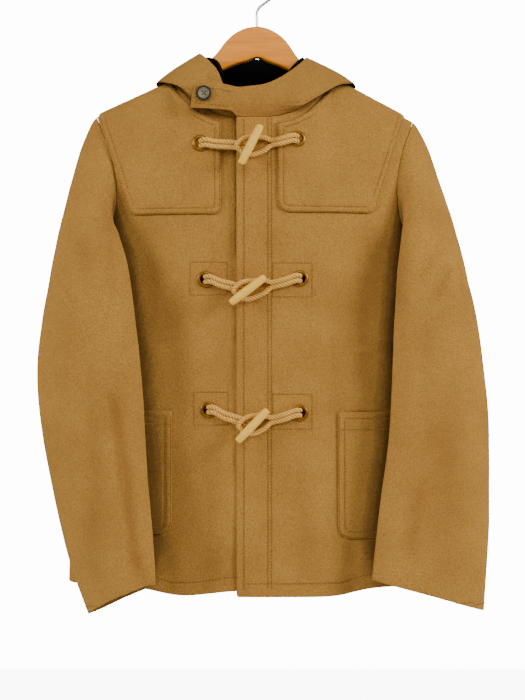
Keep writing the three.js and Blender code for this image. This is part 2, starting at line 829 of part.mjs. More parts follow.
function yokePiece(name, side) {
  const yoke = yokes[name];
  const slab = solidOf(panel(fronts[name], layIn, layOut));
  const outline = rounded([
    { x: yoke.inner, z: -60 },
    { x: yoke.inner, z: yoke.bottom, radius: yoke.radius },
    { x: yoke.outerBottom, z: yoke.bottom, radius: 10 },
    { x: yoke.outerTop, z: -150 },
    { x: yoke.outerTop, z: -60 },
  ]);
  const neck = neckEdge(side, -1).map((p) => {
    const away = vec(p.x, 0, p.z + 115).normalize();
    return p.clone().addScaledVector(away, neckTrim);
  });
  const end = neck[neck.length - 1];
  neck.push(vec(end.x, 0, -60), vec(neck[0].x - side * 20, 0, -60));
  return geometryOf(slab.intersect(prism(outline, -120, -0.5)).subtract(prism(neck, -120, 20)));
}

// The plain walls of the two fronts, before their eyelet holes.
const walls = {
  front_left: panel(fronts.left, -half, half),
  front_right: panel(fronts.right, -half, half),
  yoke_left: yokePiece("left", 1),
  yoke_right: yokePiece("right", -1),
};
const eyelets = closures.flatMap((row, i) =>
  [
    { side: "right", x: row.rightX, z: row.rightZ },
    { side: "left", x: row.leftX, z: row.leftZ },
  ].map(({ side, x, z }) => {
    const through = i === 0 ? [`front_${side}`, `yoke_${side}`] : [`front_${side}`];
    const place = eyeletPlace(through.map((name) => walls[name]), x, z);
    return { name: `grommet_${side}_${i + 1}`, through, ...place };
  }),
);

function pierced(name) {
  let solid = solidOf(walls[name]);
  for (const eyelet of eyelets)
    if (eyelet.through.includes(name)) solid = solid.subtract(hole(eyelet, eyeletHole));
  return geometryOf(solid);
}

function pocketPiece(name) {
  const pocket = pockets[name];
  const slab = solidOf(panel(fronts[name], layIn, layOut));
  const outline = rounded([
    { x: pocket.inner, z: pocket.top },
    { x: pocket.inner, z: pocket.bottom, radius: pocket.radius },
    { x: pocket.outer, z: pocket.bottom, radius: pocket.radius },
    { x: pocket.outer, z: pocket.top },
  ]);
  return geometryOf(slab.intersect(prism(outline, -120, 20)));
}

// Sleeves start on the armhole's own points and run down into a table of oval rings.
function sleeveGrid(name, side) {
  const front = fronts[name];
  const frontLast = front.points[0].length - 1;
  const backColumn = side > 0 ? back.points[0].length - 1 : 0;
  const ring = [];
  for (let j = front.points.length - 1; j >= skirtCells; j -= 1)
    ring.push({ p: front.points[j][frontLast], n: front.normals[j][frontLast] });
  for (let j = skirtCells; j < back.points.length; j += 1)
    ring.push({ p: back.points[j][backColumn], n: back.normals[j][backColumn] });
  const under = armholeSteps.length - 1;
  const joined = ring
    .map((v, i) => {
      const twin = i === 0 ? ring[ring.length - 1] : i === under ? ring[under + 1] : null;
      return twin
        ? { p: v.p.clone().lerp(twin.p, 0.5), n: v.n.clone().add(twin.n).normalize() }
        : { p: v.p, n: v.n };
    })
    .filter((_, i) => i !== under + 1 && i !== ring.length - 1);
  const count = joined.length;
  const lengths = joined.map((v, i) => v.p.distanceTo(joined[(i + 1) % count].p));
  const total = (a, b) => lengths.slice(a, b).reduce((sum, length) => sum + length, 0);
  const rows = side > 0 ? leftSleeveRows : rightSleeveRows;
  const inner = sleeveUnder[name];
  const angle = (i) =>
    i <= under
      ? (inner * total(0, i)) / total(0, under)
      : mix(inner, 360, total(under, i) / total(under, count));
  const oval = (z, i) => {
    const row = read(rows, "z", z);
    const turn = degrees(row.turn);
    const a = degrees(angle(i));
    const long = vec(side * Math.cos(turn), Math.sin(turn), 0).multiplyScalar(row.long * Math.cos(a));
    const thin = vec(side * Math.sin(turn), -Math.cos(turn), 0).multiplyScalar(row.thin * Math.sin(a));
    const p = vec(row.cx, row.cy, z - row.tilt * Math.cos(a)).add(long).add(thin);
    const depth = Math.sin(a) > 0 ? foldDepth(sleeveFolds[name], p.x, p.z) * Math.sin(a) : 0;
    p.y += depth;
    return p;
  };
  const heights = [-412, -450, -495, -545, -590, -635, -680, -725, -780, -836];
  const points = [];
  const start = joined.map((v, i) => {
    const along = joined[(i + 1) % count].p.clone().sub(joined[(i + count - 1) % count].p).normalize();
    const out = along.clone().cross(v.n).normalize();
    if (out.x * side + Math.max(out.z, 0) * 0.5 < 0) out.negate();
    if (i === under) out.set(0, 0, 1);
    const open = Math.abs(i - under) < 3 ? seamGap + 1.2 : seamGap + 0.2;
    return { p: v.p.clone().addScaledVector(out, open), n: v.n, out };
  });
  points.push(start.map((v) => v.p));
  const shares = [0.08, 0.21, 0.38, 0.6, 0.82];
  for (const share of shares)
    points.push(
      start.map((v, i) => {
        const low = oval(heights[0], i);
        const up = Math.max(v.out.z, 0);
        const top = smooth((v.p.z + 260) / 60);
        const p1 = v.p.clone().addScaledVector(v.out, mix(12, 16, up));
        p1.addScaledVector(v.n, mix(mix(9, 28, up), 3, top));
        const below = oval(heights[0] - 30, i);
        const p2 = low.clone().addScaledVector(low.clone().sub(below), (0.36 * (v.p.z - low.z)) / 30);
        const t = share;
        return v.p
          .clone()
          .multiplyScalar((1 - t) ** 3)
          .addScaledVector(p1, 3 * t * (1 - t) ** 2)
          .addScaledVector(p2, 3 * t * t * (1 - t))
          .addScaledVector(low, t ** 3);
      }),
    );
  for (const z of heights) points.push(start.map((_, i) => oval(z, i)));
  const normals = normalsOf(points, true);
  const flip = normals[10][4].y > 0 ? -1 : 1;
  normals.forEach((line) => line.forEach((n) => n.multiplyScalar(flip)));
  normals[0] = start.map((v) => v.n);
  return { points, normals, closed: true };
}

// The hood: its base follows the neckline's own points, and the rest is read from its sections.
function hoodGrid(name, side) {
  const front = fronts[name];
  const top = front.points.length - 1;
  const ring = [];
  const firstRing = side > 0 ? 0 : 2;
  for (let i = firstRing; i <= neckCells; i += 1)
    ring.push({ p: front.points[top][i], n: front.normals[top][i], at: i / neckCells });
  const backTop = back.points.length - 1;
  const middle = shoulderCells + backNeckCells;
  for (let k = 1; k <= backNeckCells; k += 1) {
    const i = middle + side * (backNeckCells - k);
    ring.push({ p: back.points[backTop][i], n: back.normals[backTop][i], at: 1 + k / backNeckCells });
  }
  const rows = side > 0 ? leftHoodRows : rightHoodRows;
  const columns = ring.map((v, i) => {
    const before = ring[Math.max(i - 1, 0)].p;
    const after = ring[Math.min(i + 1, ring.length - 1)].p;
    const out = after.clone().sub(before).normalize().cross(v.n).normalize();
    if (out.z < 0) out.negate();
    const open = seamGap + 1.7 * Math.exp(-(((v.at - 1) / 0.4) ** 2));
    const p = v.p.clone().addScaledVector(out, open);
    if (i === ring.length - 1) p.x = (side * seamGap) / 2;
    return { at: v.at, base: p, n: v.n };
  });
  if (side > 0)
    for (const at of [-0.03, -0.12, -0.21, -0.31, -0.4]) columns.unshift({ at, base: null, n: null });
  const steps = [0, 0.5, 1, 1.33, 1.67, 2, 2.5, 3, 3.5, 4, 4.5, 5];
  const grid = columns.map((column) => {
    const row = read(rows, "at", column.at);
    const base = column.base ?? vec(...read(tabRows, "at", column.at).low);
    const curve = new THREE.CatmullRomCurve3(
      [base, vec(...row.rise), vec(...row.lap), vec(...row.fold), vec(...row.fall), vec(...row.edge)],
      false,
      "centripetal",
    );
    return steps.map((step) => curve.getPoint(step / 5));
  });
  const points = steps.map((_, j) => grid.map((line) => line[j]));
  const normals = normalsOf(points, false);
  const agree = columns.reduce((sum, column, i) => sum + (column.n ? normals[1][i].dot(column.n) : 0), 0);
  normals.forEach((line) => line.forEach((n) => n.multiplyScalar(Math.sign(agree))));
  columns.forEach((column, i) => {
    if (column.n) normals[0][i].copy(column.n);
  });
  normals.forEach((line) => {
    const last = line[line.length - 1];
    last.x = 0;
    last.normalize();
  });
  return { points, normals, closed: false };
}

function liningGrid(hoods) {
  const drop = half + seamGap + liningThick / 2;
  const sideColumn = (row) => {
    const curve = new THREE.CatmullRomCurve3(
      [vec(...row.base), vec(...row.mid), vec(...row.top), vec(...row.end)],
      false,
      "centripetal",
    );
    return [0, 0.25, 0.5, 0.76, 1].map((share) => curve.getPoint(share));
  };
  const bend = (points, j, i) => {
    if (j === 0) return 0;
    const before = points[j][i].clone().sub(points[j - 1][i]);
    const after = points[j + 1][i].clone().sub(points[j][i]);
    return before.angleTo(after);
  };
  const backColumn = (hood, i) => {
    const line = hood.points.slice(0, 5).map((row, j) => {
      const bent = 1 / Math.cos(bend(hood.points, j, i) / 2);
      return row[i].clone().addScaledVector(hood.normals[j][i], -drop * bent - 0.9);
    });
    line[0].lerp(line[1], 0.45);
    line[4].copy(line[2]).lerp(line[3], 0.5);
    line[3].copy(line[2]).lerp(line[4], 0.5);
    return line;
  };
  const lastRight = hoods.right.points[0].length - 1;
  const lastLeft = hoods.left.points[0].length - 1;
  const grid = rightLiningRows.map(sideColumn);
  for (let k = backNeckCells - 1; k >= 0; k -= 1) grid.push(backColumn(hoods.right, lastRight - k));
  grid[grid.length - 1].forEach((p) => p.setX(0));
  for (let k = 1; k < backNeckCells; k += 1) grid.push(backColumn(hoods.left, lastLeft - k));
  grid.push(...leftLiningRows.map(sideColumn));
  const points = grid[0].map((_, j) => grid.map((line) => line[j]));
  return { points, normals: normalsOf(points, false), closed: false };
}

// A round bar along a path, closed at both ends.
function bar(points, radius, sides, steps, tension) {
  const shape = new THREE.Shape();
  for (let k = 0; k < sides; k += 1) {
    const a = (2 * Math.PI * k) / sides;
    if (k === 0) shape.moveTo(radius, 0);
    else shape.lineTo(radius * Math.cos(a), radius * Math.sin(a));
  }
  shape.closePath();
  const path = new THREE.CatmullRomCurve3(points, false, tension ?? "centripetal");
  path.arcLengthDivisions = 600;
  return new THREE.ExtrudeGeometry(shape, { steps, extrudePath: path, bevelEnabled: false });
}

// A turned piece: half profile rows of radius and height along +Y, set along a direction.
function turned(profile, sides, point, direction) {
  const geometry = new THREE.LatheGeometry(
    profile.map(([radius, height]) => new THREE.Vector2(radius, height)),
    sides,
  );
  geometry.applyQuaternion(new THREE.Quaternion().setFromUnitVectors(vec(0, 1, 0), direction));
  geometry.translate(point.x, point.y, point.z);
  return indexed(geometry);
}

function grommet(eyelet) {
  const face = eyelet.depth / 2 + seamGap + 0.17;
  const rear = -face;
  return turned(
    [
      [6.8, rear - 0.9],
      [10, rear - 0.9],
      [10, rear],
      [7.5, rear],
      [7.5, face],
      [11, face],
      [10.8, face + 0.7],
      [8.9, face + 1.5],
      [6.8, face + 0.9],
      [6.8, rear - 0.9],
    ],
    14,
    eyelet.point,
    eyelet.normal,
  );
}

// Each closure's cords and toggle. A cord is one hairpin: both its ends sink in the same eyelet.
function closurePieces(row, i) {
  const right = eyelets[2 * i];
  const left = eyelets[2 * i + 1];
  const skin = (x, z) => facesAt(Object.values(walls), x, z).outer;
  const toggleMid = vec((row.x0 + row.x1) / 2, 0, (row.z0 + row.z1) / 2);
  const level = Math.min(skin(0, toggleMid.z), skin(-20, toggleMid.z), skin(18, toggleMid.z));
  const low = level - ropeRadius - 0.5;
  const high = low - 2 * ropeRadius - 0.5;
  const toggleY = high - ropeRadius - toggleRadius - 0.5;
  const step = ropeRadius + 0.17;
  const z0 = row.rightZ;
  const z1 = row.leftZ;
  const zm = toggleMid.z;
  const into = (eyelet, dz, depth) => {
    const p = eyelet.point.clone().addScaledVector(eyelet.normal, depth);
    p.z += dz;
    return p;
  };
  const rim = right.depth / 2 + 2 + ropeRadius;
  const strand = (eyelet, sign, dx) => {
    const a = into(eyelet, sign * step, -11);
    const b = into(eyelet, sign * step, 0);
    const c = into(eyelet, sign * step, rim * 0.75);
    const d = into(eyelet, sign * step, rim + 1.2);
    c.x += dx * 1.2;
    d.x += dx * 7;
    return [a, b, c, d];
  };
  const holderRow = (x, dz, y) => vec(x, y, mix(z0, zm, clamp01((x - row.rightX) / (toggleMid.x - row.rightX))) + dz);
  const sideA = (sign) => [
    ...strand(right, sign, 1),
    holderRow(row.rightX + 19, sign * step, Math.min(skin(row.rightX + 19, z0) - ropeRadius - 1, low + 2)),
    holderRow(-36, sign * step, low - 0.8),
    holderRow(-22, sign * step, low),
    holderRow(toggleMid.x - 6, sign * step, low),
  ];
  const turnA = [holderRow(toggleMid.x + 1, step * 0.7, low - 0.5), holderRow(toggleMid.x + 1, -step * 0.7, low - 0.5)];
  const holder = bar([...sideA(1), ...turnA, ...sideA(-1).reverse()], ropeRadius, 7, 24);
  const loopRow = (x, dz, y) => vec(x, y, mix(z1, zm, clamp01((row.leftX - x) / (row.leftX - toggleMid.x))) + dz);
  const sideB = (sign) => [
    ...strand(left, sign, -1),
    loopRow(row.leftX - 20, sign * step, Math.min(skin(row.leftX - 20, z1) - ropeRadius - 2.3, low)),
    loopRow(19, sign * step, low - 0.5),
    loopRow(10, sign * 8, low - 2),
    loopRow(toggleMid.x + 2, sign * 11.5, (low + high) / 2),
    loopRow(toggleMid.x - 9, sign * 9.5, high - 0.4),
  ];
  const turnB = [loopRow(toggleMid.x - 15.5, 4.2, high - 0.7), loopRow(toggleMid.x - 15.5, -4.2, high - 0.7)];
  const loop = bar([...sideB(1), ...turnB, ...sideB(-1).reverse()], ropeRadius, 7, 28);
  const from = vec(row.x0, toggleY - row.lean, row.z0);
  const to = vec(row.x1, toggleY, row.z1);
  const direction = to.clone().sub(from).normalize();
  const middle = from.clone().lerp(to, 0.5);
  middle.y = toggleY - row.lean / 2 + row.seat;
  const reach = toggleLength / 2;
  const toggle = turned(
    [
      [0, -reach],
      [4.2, -reach],
      [4.9, -reach + 1],
      [5.4, -reach * 0.6],
      [toggleRadius, -4],
      [toggleRadius, 4],
      [5.4, reach * 0.6],
      [4.9, reach - 1],
      [4.2, reach],
      [0, reach],
    ],
    12,
    middle,
    direction,
  );
  return { holder, loop, toggle };
}

// The button on the throat tab.
function tabButton() {
  const place = vec(-69.5, -66.85, -175);
  return turned(
    [
      [0, 0.3],
      [8.6, 0.3],
      [10, 1.6],
      [10, 3],
      [8.9, 3.8],
      [7.4, 3.2],
      [5, 2.6],
      [0, 2.4],
    ],
    20,
    place,
    vec(-0.06, -1, 0.04).normalize(),
  );
}

// The hanger's outline: a dome at the middle, and arms that lie under the shoulder seams.
function hangerPiece() {
  const drop = (half + seamGap + 1.3) / Math.cos(Math.atan(0.5));
  const arm = (x) => shoulderZ(x) - drop;
  const shape = new THREE.Shape();
  const top = [
    [-203, arm(-203) - 4],
    [-160, arm(-160) - 0.8],
    [-118, arm(-118)],
    [-100, -145],
    [-80, -128.5],
    [-66, -117],
    [-55, -106.5],
    [-49, -98],
    [-43, -90],
    [-35, -82],
    [-23, -74],
    [-10, -70],
    [4, -69.5],
    [17, -72.5],
    [30, -80],
    [39, -88],
    [46, -97.5],
    [53, -109],
    [63, -121],
    [78, -133],
    [96, -145.5],
    [108, arm(108)],
    [150, arm(150) - 0.8],
    [197, arm(197) - 4],
  ];
  const bottom = [
    [206, arm(197) - 9],
    [204, arm(197) - 19],
    [193, arm(193) - 24],
    [150, arm(150) - 30],
    [100, arm(108) - 27],
    [60, -137],
    [34, -124],
    [16, -119],
    [1, -110.5],
    [-13, -117.5],
    [-32, -121.5],
    [-58, -134],
    [-100, -158],
    [-152, arm(-152) - 30],
    [-199, arm(-199) - 24],
    [-209, arm(-203) - 19],
    [-210, arm(-203) - 9],
  ];
  shape.moveTo(...top[0]);
  for (const [x, z] of [...top.slice(1), ...bottom]) shape.lineTo(x, z);
  shape.closePath();
  const geometry = new THREE.ExtrudeGeometry(shape, {
    depth: hangerThick - 6,
    bevelEnabled: true,
    bevelThickness: 3,
    bevelSize: 2.4,
    bevelOffset: -2.4,
    bevelSegments: 2,
  });
  geometry.rotateX(Math.PI / 2);
  geometry.translate(0, hangerThick / 2 - 3, 0);
  const socket = new THREE.CylinderGeometry(hookWire / 2 + 0.4, hookWire / 2 + 0.4, 30, 16);
  socket.rotateX(Math.PI / 2);
  socket.translate(0, 0, -69.5);
  return geometryOf(solidOf(indexed(geometry)).subtract(solidOf(indexed(socket))));
}

function hookPiece() {
  const reach = hookInside / 2 + hookWire / 2;
  const centre = -hookInside / 2;
  const points = [vec(0, 0, -84), vec(0, 0, -66), vec(0, 0, -50), vec(3.8, 0, -42.4), vec(13.5, 0, -34.6)];
  for (const angle of [-8, 20, 50, 80, 110, 140, 170, 200])
    points.push(vec(reach * Math.cos(degrees(angle)), 0, centre + reach * Math.sin(degrees(angle))));
  return bar(points, hookWire / 2, 10, 34);
}

// Materials
const colours = {
  cloth: "#ac8347",
  lining: "#0b0b0c",
  wood: "#e49c2b",
  steel: "#b9bcc0",
  brass: "#865b24",
  toggle: "#efd184",
  rope: "#d7aa66",
  button: "#5a5140",
};
const group = new THREE.Group();

function add(name, geometry, colour, metal) {
  const material = new THREE.MeshStandardMaterial({
    color: colours[colour],
    roughness: metal ? 0.35 : 0.85,
    metalness: metal ? 1 : 0,
  });
  material.name = colour;
  const mesh = new THREE.Mesh(geometry, material);
  mesh.name = name;
  group.add(mesh);
}

add("back", panel(back, -half, half), "cloth");
for (const name of Object.keys(walls)) add(name, pierced(name), "cloth");
add("pocket_left", pocketPiece("left"), "cloth");
add("pocket_right", pocketPiece("right"), "cloth");
add("sleeve_left", panel(sleeveGrid("left", 1), -half, half), "cloth");
add("sleeve_right", panel(sleeveGrid("right", -1), -half, half), "cloth");
const hoods = { left: hoodGrid("left", 1), right: hoodGrid("right", -1) };
add("hood_left", panel(hoods.left, -half, half), "cloth");
add("hood_right", panel(hoods.right, -half, half), "cloth");
add("neck_lining", panel(liningGrid(hoods), -liningThick / 2, liningThick / 2), "lining");
add("tab_button", tabButton(), "button");
closures.forEach((row, i) => {
  const made = closurePieces(row, i);
  add(`holder_${i + 1}`, made.holder, "rope");
  add(`loop_${i + 1}`, made.loop, "rope");
  add(`toggle_${i + 1}`, made.toggle, "toggle");
});
for (const eyelet of eyelets) add(eyelet.name, grommet(eyelet), "brass", true);
add("hanger", hangerPiece(), "wood");
add("hook", hookPiece(), "steel", true);

export default group;
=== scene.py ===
"""A short camel duffle coat on a varnished wooden hanger, hung from its wire hook, front to the viewer."""
import math

import bmesh
import bpy
import numpy as np
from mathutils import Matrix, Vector
from mathutils.bvhtree import BVHTree


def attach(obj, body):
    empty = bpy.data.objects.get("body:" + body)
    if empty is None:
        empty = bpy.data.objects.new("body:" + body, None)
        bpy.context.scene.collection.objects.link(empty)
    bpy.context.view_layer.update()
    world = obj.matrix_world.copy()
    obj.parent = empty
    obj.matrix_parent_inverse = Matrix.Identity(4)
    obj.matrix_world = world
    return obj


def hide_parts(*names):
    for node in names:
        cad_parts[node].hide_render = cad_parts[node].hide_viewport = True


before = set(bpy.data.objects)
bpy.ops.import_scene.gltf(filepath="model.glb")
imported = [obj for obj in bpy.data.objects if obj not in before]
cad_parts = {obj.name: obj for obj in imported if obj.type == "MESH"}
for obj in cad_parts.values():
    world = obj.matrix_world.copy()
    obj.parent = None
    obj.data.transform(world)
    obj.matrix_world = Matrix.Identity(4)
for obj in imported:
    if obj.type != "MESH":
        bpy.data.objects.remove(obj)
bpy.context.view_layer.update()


# Materials: one function turns a given colour into linear values, and one adds a shader node.
def linear(colour, alpha=1.0):
    parts = [int(colour[i : i + 2], 16) / 255 for i in (1, 3, 5)]
    return [c / 12.92 if c <= 0.04045 else ((c + 0.055) / 1.055) ** 2.4 for c in parts] + [alpha]


def add(tree, kind, values=None, links=None, **settings):
    node = tree.nodes.new(kind)
    for key, value in settings.items():
        setattr(node, key, value)
    for key, value in (values or {}).items():
        node.inputs[key].default_value = value
    for key, (other, output) in (links or {}).items():
        tree.links.new(other.outputs[output], node.inputs[key])
    return node


def new_material(name):
    material = bpy.data.materials.new(name)
    material.use_nodes = True
    tree = material.node_tree
    shader = tree.nodes["Principled BSDF"]
    return material, tree, shader


# Melton wool: milled and brushed, so the weave is felted over. Short fibres give a soft speckle, a slight
# cloudiness and a pale bloom at grazing angles. The fold attribute paints shade into fold troughs, and on
# the hood all over; the hollow attribute paints near-black shade where cloth lies close under other cloth.
def wool(name, base, deep, pale, speckle=0.55):
    material, tree, shader = new_material(name)
    place = add(tree, "ShaderNodeTexCoord")
    cloud = add(tree, "ShaderNodeTexNoise", {"Scale": 16.0, "Detail": 3.0}, {"Vector": (place, "Object")})
    grain = add(
        tree,
        "ShaderNodeTexNoise",
        {"Scale": 420.0, "Detail": 4.0, "Roughness": 0.7},
        {"Vector": (place, "Object")},
    )
    fibre = add(tree, "ShaderNodeTexNoise", {"Scale": 1500.0, "Detail": 2.0}, {"Vector": (place, "Object")})
    stretch = add(
        tree, "ShaderNodeMapping", {"Scale": (380.0, 380.0, 900.0)}, {"Vector": (place, "Object")}
    )
    weave = add(tree, "ShaderNodeTexNoise", {"Scale": 1.0, "Detail": 2.0}, {"Vector": (stretch, "Vector")})
    fold_shade = add(tree, "ShaderNodeAttribute", attribute_name="fold_shade")
    tone = add(
        tree,
        "ShaderNodeMapRange",
        {"From Min": 0.3, "From Max": 0.7, "To Min": 0.0, "To Max": speckle},
        {"Value": (grain, "Fac")},
    )
    first = add(
        tree,
        "ShaderNodeMix",
        {"A": linear(base), "B": linear(deep)},
        {"Factor": (tone, "Result")},
        data_type="RGBA",
    )
    bloom = add(
        tree,
        "ShaderNodeMapRange",
        {"From Min": 0.42, "From Max": 0.72, "To Min": 0.0, "To Max": 0.5},
        {"Value": (fibre, "Fac")},
    )
    second = add(
        tree,
        "ShaderNodeMix",
        {"B": linear(pale)},
        {"Factor": (bloom, "Result"), "A": (first, "Result")},
        data_type="RGBA",
    )
    dull = add(
        tree,
        "ShaderNodeMapRange",
        {"From Min": 0.35, "From Max": 0.65, "To Min": 0.0, "To Max": 0.22},
        {"Value": (cloud, "Fac")},
    )
    third = add(
        tree,
        "ShaderNodeMix",
        {"B": linear(deep)},
        {"Factor": (dull, "Result"), "A": (second, "Result")},
        data_type="RGBA",
    )
    # Painted shade: the fold value mixes the deep colour into troughs.
    shade = add(
        tree,
        "ShaderNodeMapRange",
        {"From Min": 0.0, "From Max": 1.0, "To Min": 0.0, "To Max": 0.45},
        {"Value": (fold_shade, "Fac")},
    )
    fourth = add(
        tree,
        "ShaderNodeMix",
        {"B": linear(deep)},
        {"Factor": (shade, "Result"), "A": (third, "Result")},
        data_type="RGBA",
    )
    # Painted shade: the hollow value mixes near-black into cloth that lies close under other cloth.
    hollow_shade = add(tree, "ShaderNodeAttribute", attribute_name="hollow_shade")
    fifth = add(
        tree,
        "ShaderNodeMix",
        {"B": linear("#120b05")},
        {"Factor": (hollow_shade, "Fac"), "A": (fourth, "Result")},
        data_type="RGBA",
    )
    relief = add(tree, "ShaderNodeMath", {}, {0: (grain, "Fac"), 1: (weave, "Fac")}, operation="ADD")
    bump = add(
        tree, "ShaderNodeBump", {"Strength": 0.85, "Distance": 0.0011}, {"Height": (relief, "Value")}
    )
    tree.links.new(fifth.outputs["Result"], shader.inputs["Base Color"])
    tree.links.new(bump.outputs["Normal"], shader.inputs["Normal"])
    shader.inputs["Roughness"].default_value = 0.93
    shader.inputs["Specular IOR Level"].default_value = 0.12
    shader.inputs["Sheen Weight"].default_value = 0.22
    shader.inputs["Sheen Roughness"].default_value = 0.55
    shader.inputs["Sheen Tint"].default_value = linear(pale)
    return material


melton = wool("melton_wool", "#b78335", "#7a4c1c", "#e2b362", speckle=0.8)
# A darker cloth colour: thread on the button, and painted shadow in the strips along the seams.
thread_and_painted_seam_line = wool("painted_stitch_shade_and_thread", "#7b5320", "#5d3c14", "#95692e", speckle=0.3)


# A cloth panel starts from its packed wall. Its triangles become quads, its cut edges stay crisp and are
# only
# just rounded, and the rest is subdivided into one soft surface.
def panel_mesh(node, level, edge=0.8):
    work = bmesh.new()
    work.from_mesh(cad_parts[node].data)
    bmesh.ops.remove_doubles(work, verts=work.verts, dist=2e-5)
    bmesh.ops.join_triangles(
        work,
        faces=work.faces,
        cmp_seam=False,
        cmp_sharp=False,
        cmp_uvs=False,
        cmp_vcols=False,
        cmp_materials=False,
        angle_face_threshold=math.radians(42),
        angle_shape_threshold=math.radians(100),
    )
    crease = work.edges.layers.float.new("crease_edge")
    for line in work.edges:
        if len(line.link_faces) == 2 and line.calc_face_angle() > math.radians(48):
            line[crease] = edge
    mesh = bpy.data.meshes.new(node + "_cage")
    work.to_mesh(mesh)
    work.free()
    cage = bpy.data.objects.new(node + "_cage", mesh)
    bpy.context.scene.collection.objects.link(cage)
    smoothing = cage.modifiers.new("smooth", "SUBSURF")
    smoothing.levels = level
    graph = bpy.context.evaluated_depsgraph_get()
    soft = bpy.data.meshes.new_from_object(cage.evaluated_get(graph))
    bpy.data.objects.remove(cage)
    soft.materials.clear()
    return soft


def smooth(t):
    t = np.clip(t, 0, 1)
    return t * t * (3 - 2 * t)


def places(mesh):
    co = np.empty(len(mesh.vertices) * 3)
    mesh.vertices.foreach_get("co", co)
    return co.reshape(-1, 3)


# A fold is a soft trough (depth above 0) or ridge (below 0) along a line, all in millimetres. slack is the
# gentle unevenness that cloth has everywhere.
def fold_depth(x, z, folds):
    depth = np.zeros(len(x))
    for x0, z0, x1, z1, width, deep in folds:
        dx, dz = x1 - x0, z1 - z0
        along = ((x - x0) * dx + (z - z0) * dz) / (dx * dx + dz * dz)
        off = ((x - x0) * dz - (z - z0) * dx) / math.hypot(dx, dz)
        ends = smooth((along + 0.2) / 0.4) * smooth((1.2 - along) / 0.4)
        depth += deep * ends * np.exp(-((off / width) ** 2))
    return depth


def slack(p, seed, size, height):
    rng = np.random.default_rng(seed)
    total = np.zeros(len(p))
    for _ in range(14):
        way = rng.normal(size=3)
        way /= np.linalg.norm(way)
        wave = 2 * math.pi / (size * rng.uniform(0.6, 1.7))
        total += np.sin(p @ way * wave + rng.uniform(0, 2 * math.pi))
    return total * height / 4


def finish_piece(name, mesh, material, slot, *nodes):
    mesh.materials.append(material)
    mesh.polygons.foreach_set("use_smooth", [True] * len(mesh.polygons))
    piece = bpy.data.objects.new(name, mesh)
    bpy.context.scene.collection.objects.link(piece)
    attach(piece, "root")
    if nodes:
        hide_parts(*nodes)
    return piece


# Moves both faces of a wall together, away from the way that the panel faces, and keeps the depth as
# painted shade in the troughs; shade adds painted shade over the whole panel.
def cloth(name, node, level, way, folds, seed, waves=((90, 1.0), (32, 0.35)), shade=0.0, form=None):
    mesh = panel_mesh(node, level)
    co = places(mesh) * 1000
    if form:
        form(co)
    facing, weight = way(co)
    depth = fold_depth(co[:, 0], co[:, 2], folds)
    for k, (size, height) in enumerate(waves):
        depth += slack(co, seed + k, size, height) * 0.5
    depth *= weight
    co -= facing * depth[:, None]
    mesh.vertices.foreach_set("co", (co / 1000).ravel())
    # Painted shade: each trough's depth, plus shade, is kept as the fold value that darkens the cloth.
    fold_shade = mesh.attributes.new("fold_shade", "FLOAT", "POINT")
    fold_shade.data.foreach_set("value", np.clip(depth / 4.0 + shade, -0.4, 1.6))
    return finish_piece(name, mesh, melton, "melton", node)


def outline_at(node, x, pick):
    """The lowest (min) or highest (max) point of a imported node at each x, in millimetres."""
    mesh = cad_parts[node].data
    co = places(mesh) * 1000
    ends = np.empty(len(mesh.edges) * 2, dtype=np.int64)
    mesh.edges.foreach_get("vertices", ends)
    a, b = co[ends[0::2]], co[ends[1::2]]
    found = []
    for value in x:
        hit = (a[:, 0] - value) * (b[:, 0] - value) <= 0
        p, q = a[hit], b[hit]
        t = (value - p[:, 0]) / np.where(abs(q[:, 0] - p[:, 0]) < 1e-9, 1e-9, q[:, 0] - p[:, 0])
        z = p[:, 2] + np.clip(t, 0, 1) * (q[:, 2] - p[:, 2])
        found.append(pick(z))
    return np.array(found)


def to_front(p):
    return np.tile([0.0, -1.0, 0.0], (len(p), 1)), np.ones(len(p))


def held_at_seams(node, facing):
    """The panel moves towards the front (-1) or the back (1), but stays where it is sewn: shoulder, armhole and side."""
    x = np.linspace(-256, 256, 129)
    own = places(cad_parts[node].data) * 1000
    inside = (x > own[:, 0].min() + 1) & (x < own[:, 0].max() - 1)
    top = outline_at(node, x[inside], np.max)
    z = np.linspace(-835, -150, 60)
    side = [abs(own[abs(own[:, 2] - level) < 24][:, 0]).max(initial=0.0) for level in z]

    def way(p):
        sewn = smooth((np.interp(p[:, 2], z, side) - abs(p[:, 0]) - 4) / 34)
        sewn = sewn * smooth((np.interp(p[:, 0], x[inside], top) - p[:, 2] - 4) / 34)
        return np.tile([0.0, float(facing), 0.0], (len(p), 1)), sewn

    return way


# The two fronts, wearer's left over right. The cloth hangs straight, with a soft drag line from the neck to
# the
# top eyelet and shallow vertical folds beside the closures.
front_left = cloth(
    "front_left_cloth",
    "front_left",
    3,
    held_at_seams("front_left", -1),
    [
        (80, -165, 58, -222, 9, 1.6),
        (104, -175, 96, -320, 16, 1.8),
        (150, -350, 138, -560, 20, 2.2),
        (100, -450, 104, -620, 14, 1.3),
        (60, -660, 66, -835, 18, 1.6),
        (125, -770, 128, -838, 12, 1.8),
        (-16, -250, -17, -410, 4, 0.5),
    ],
    11,
)
front_right = cloth(
    "front_right_cloth",
    "front_right",
    3,
    held_at_seams("front_right", -1),
    [
        (-112, -164, -86, -226, 9, 2.4),
        (-96, -175, -74, -222, 6, 1.0),
        (-112, -440, -102, -592, 17, 1.9),
        (-150, -330, -140, -470, 18, 1.8),
        (-60, -640, -64, -835, 16, 1.5),
        (-118, -780, -116, -838, 12, 1.8),
    ],
    23,
)

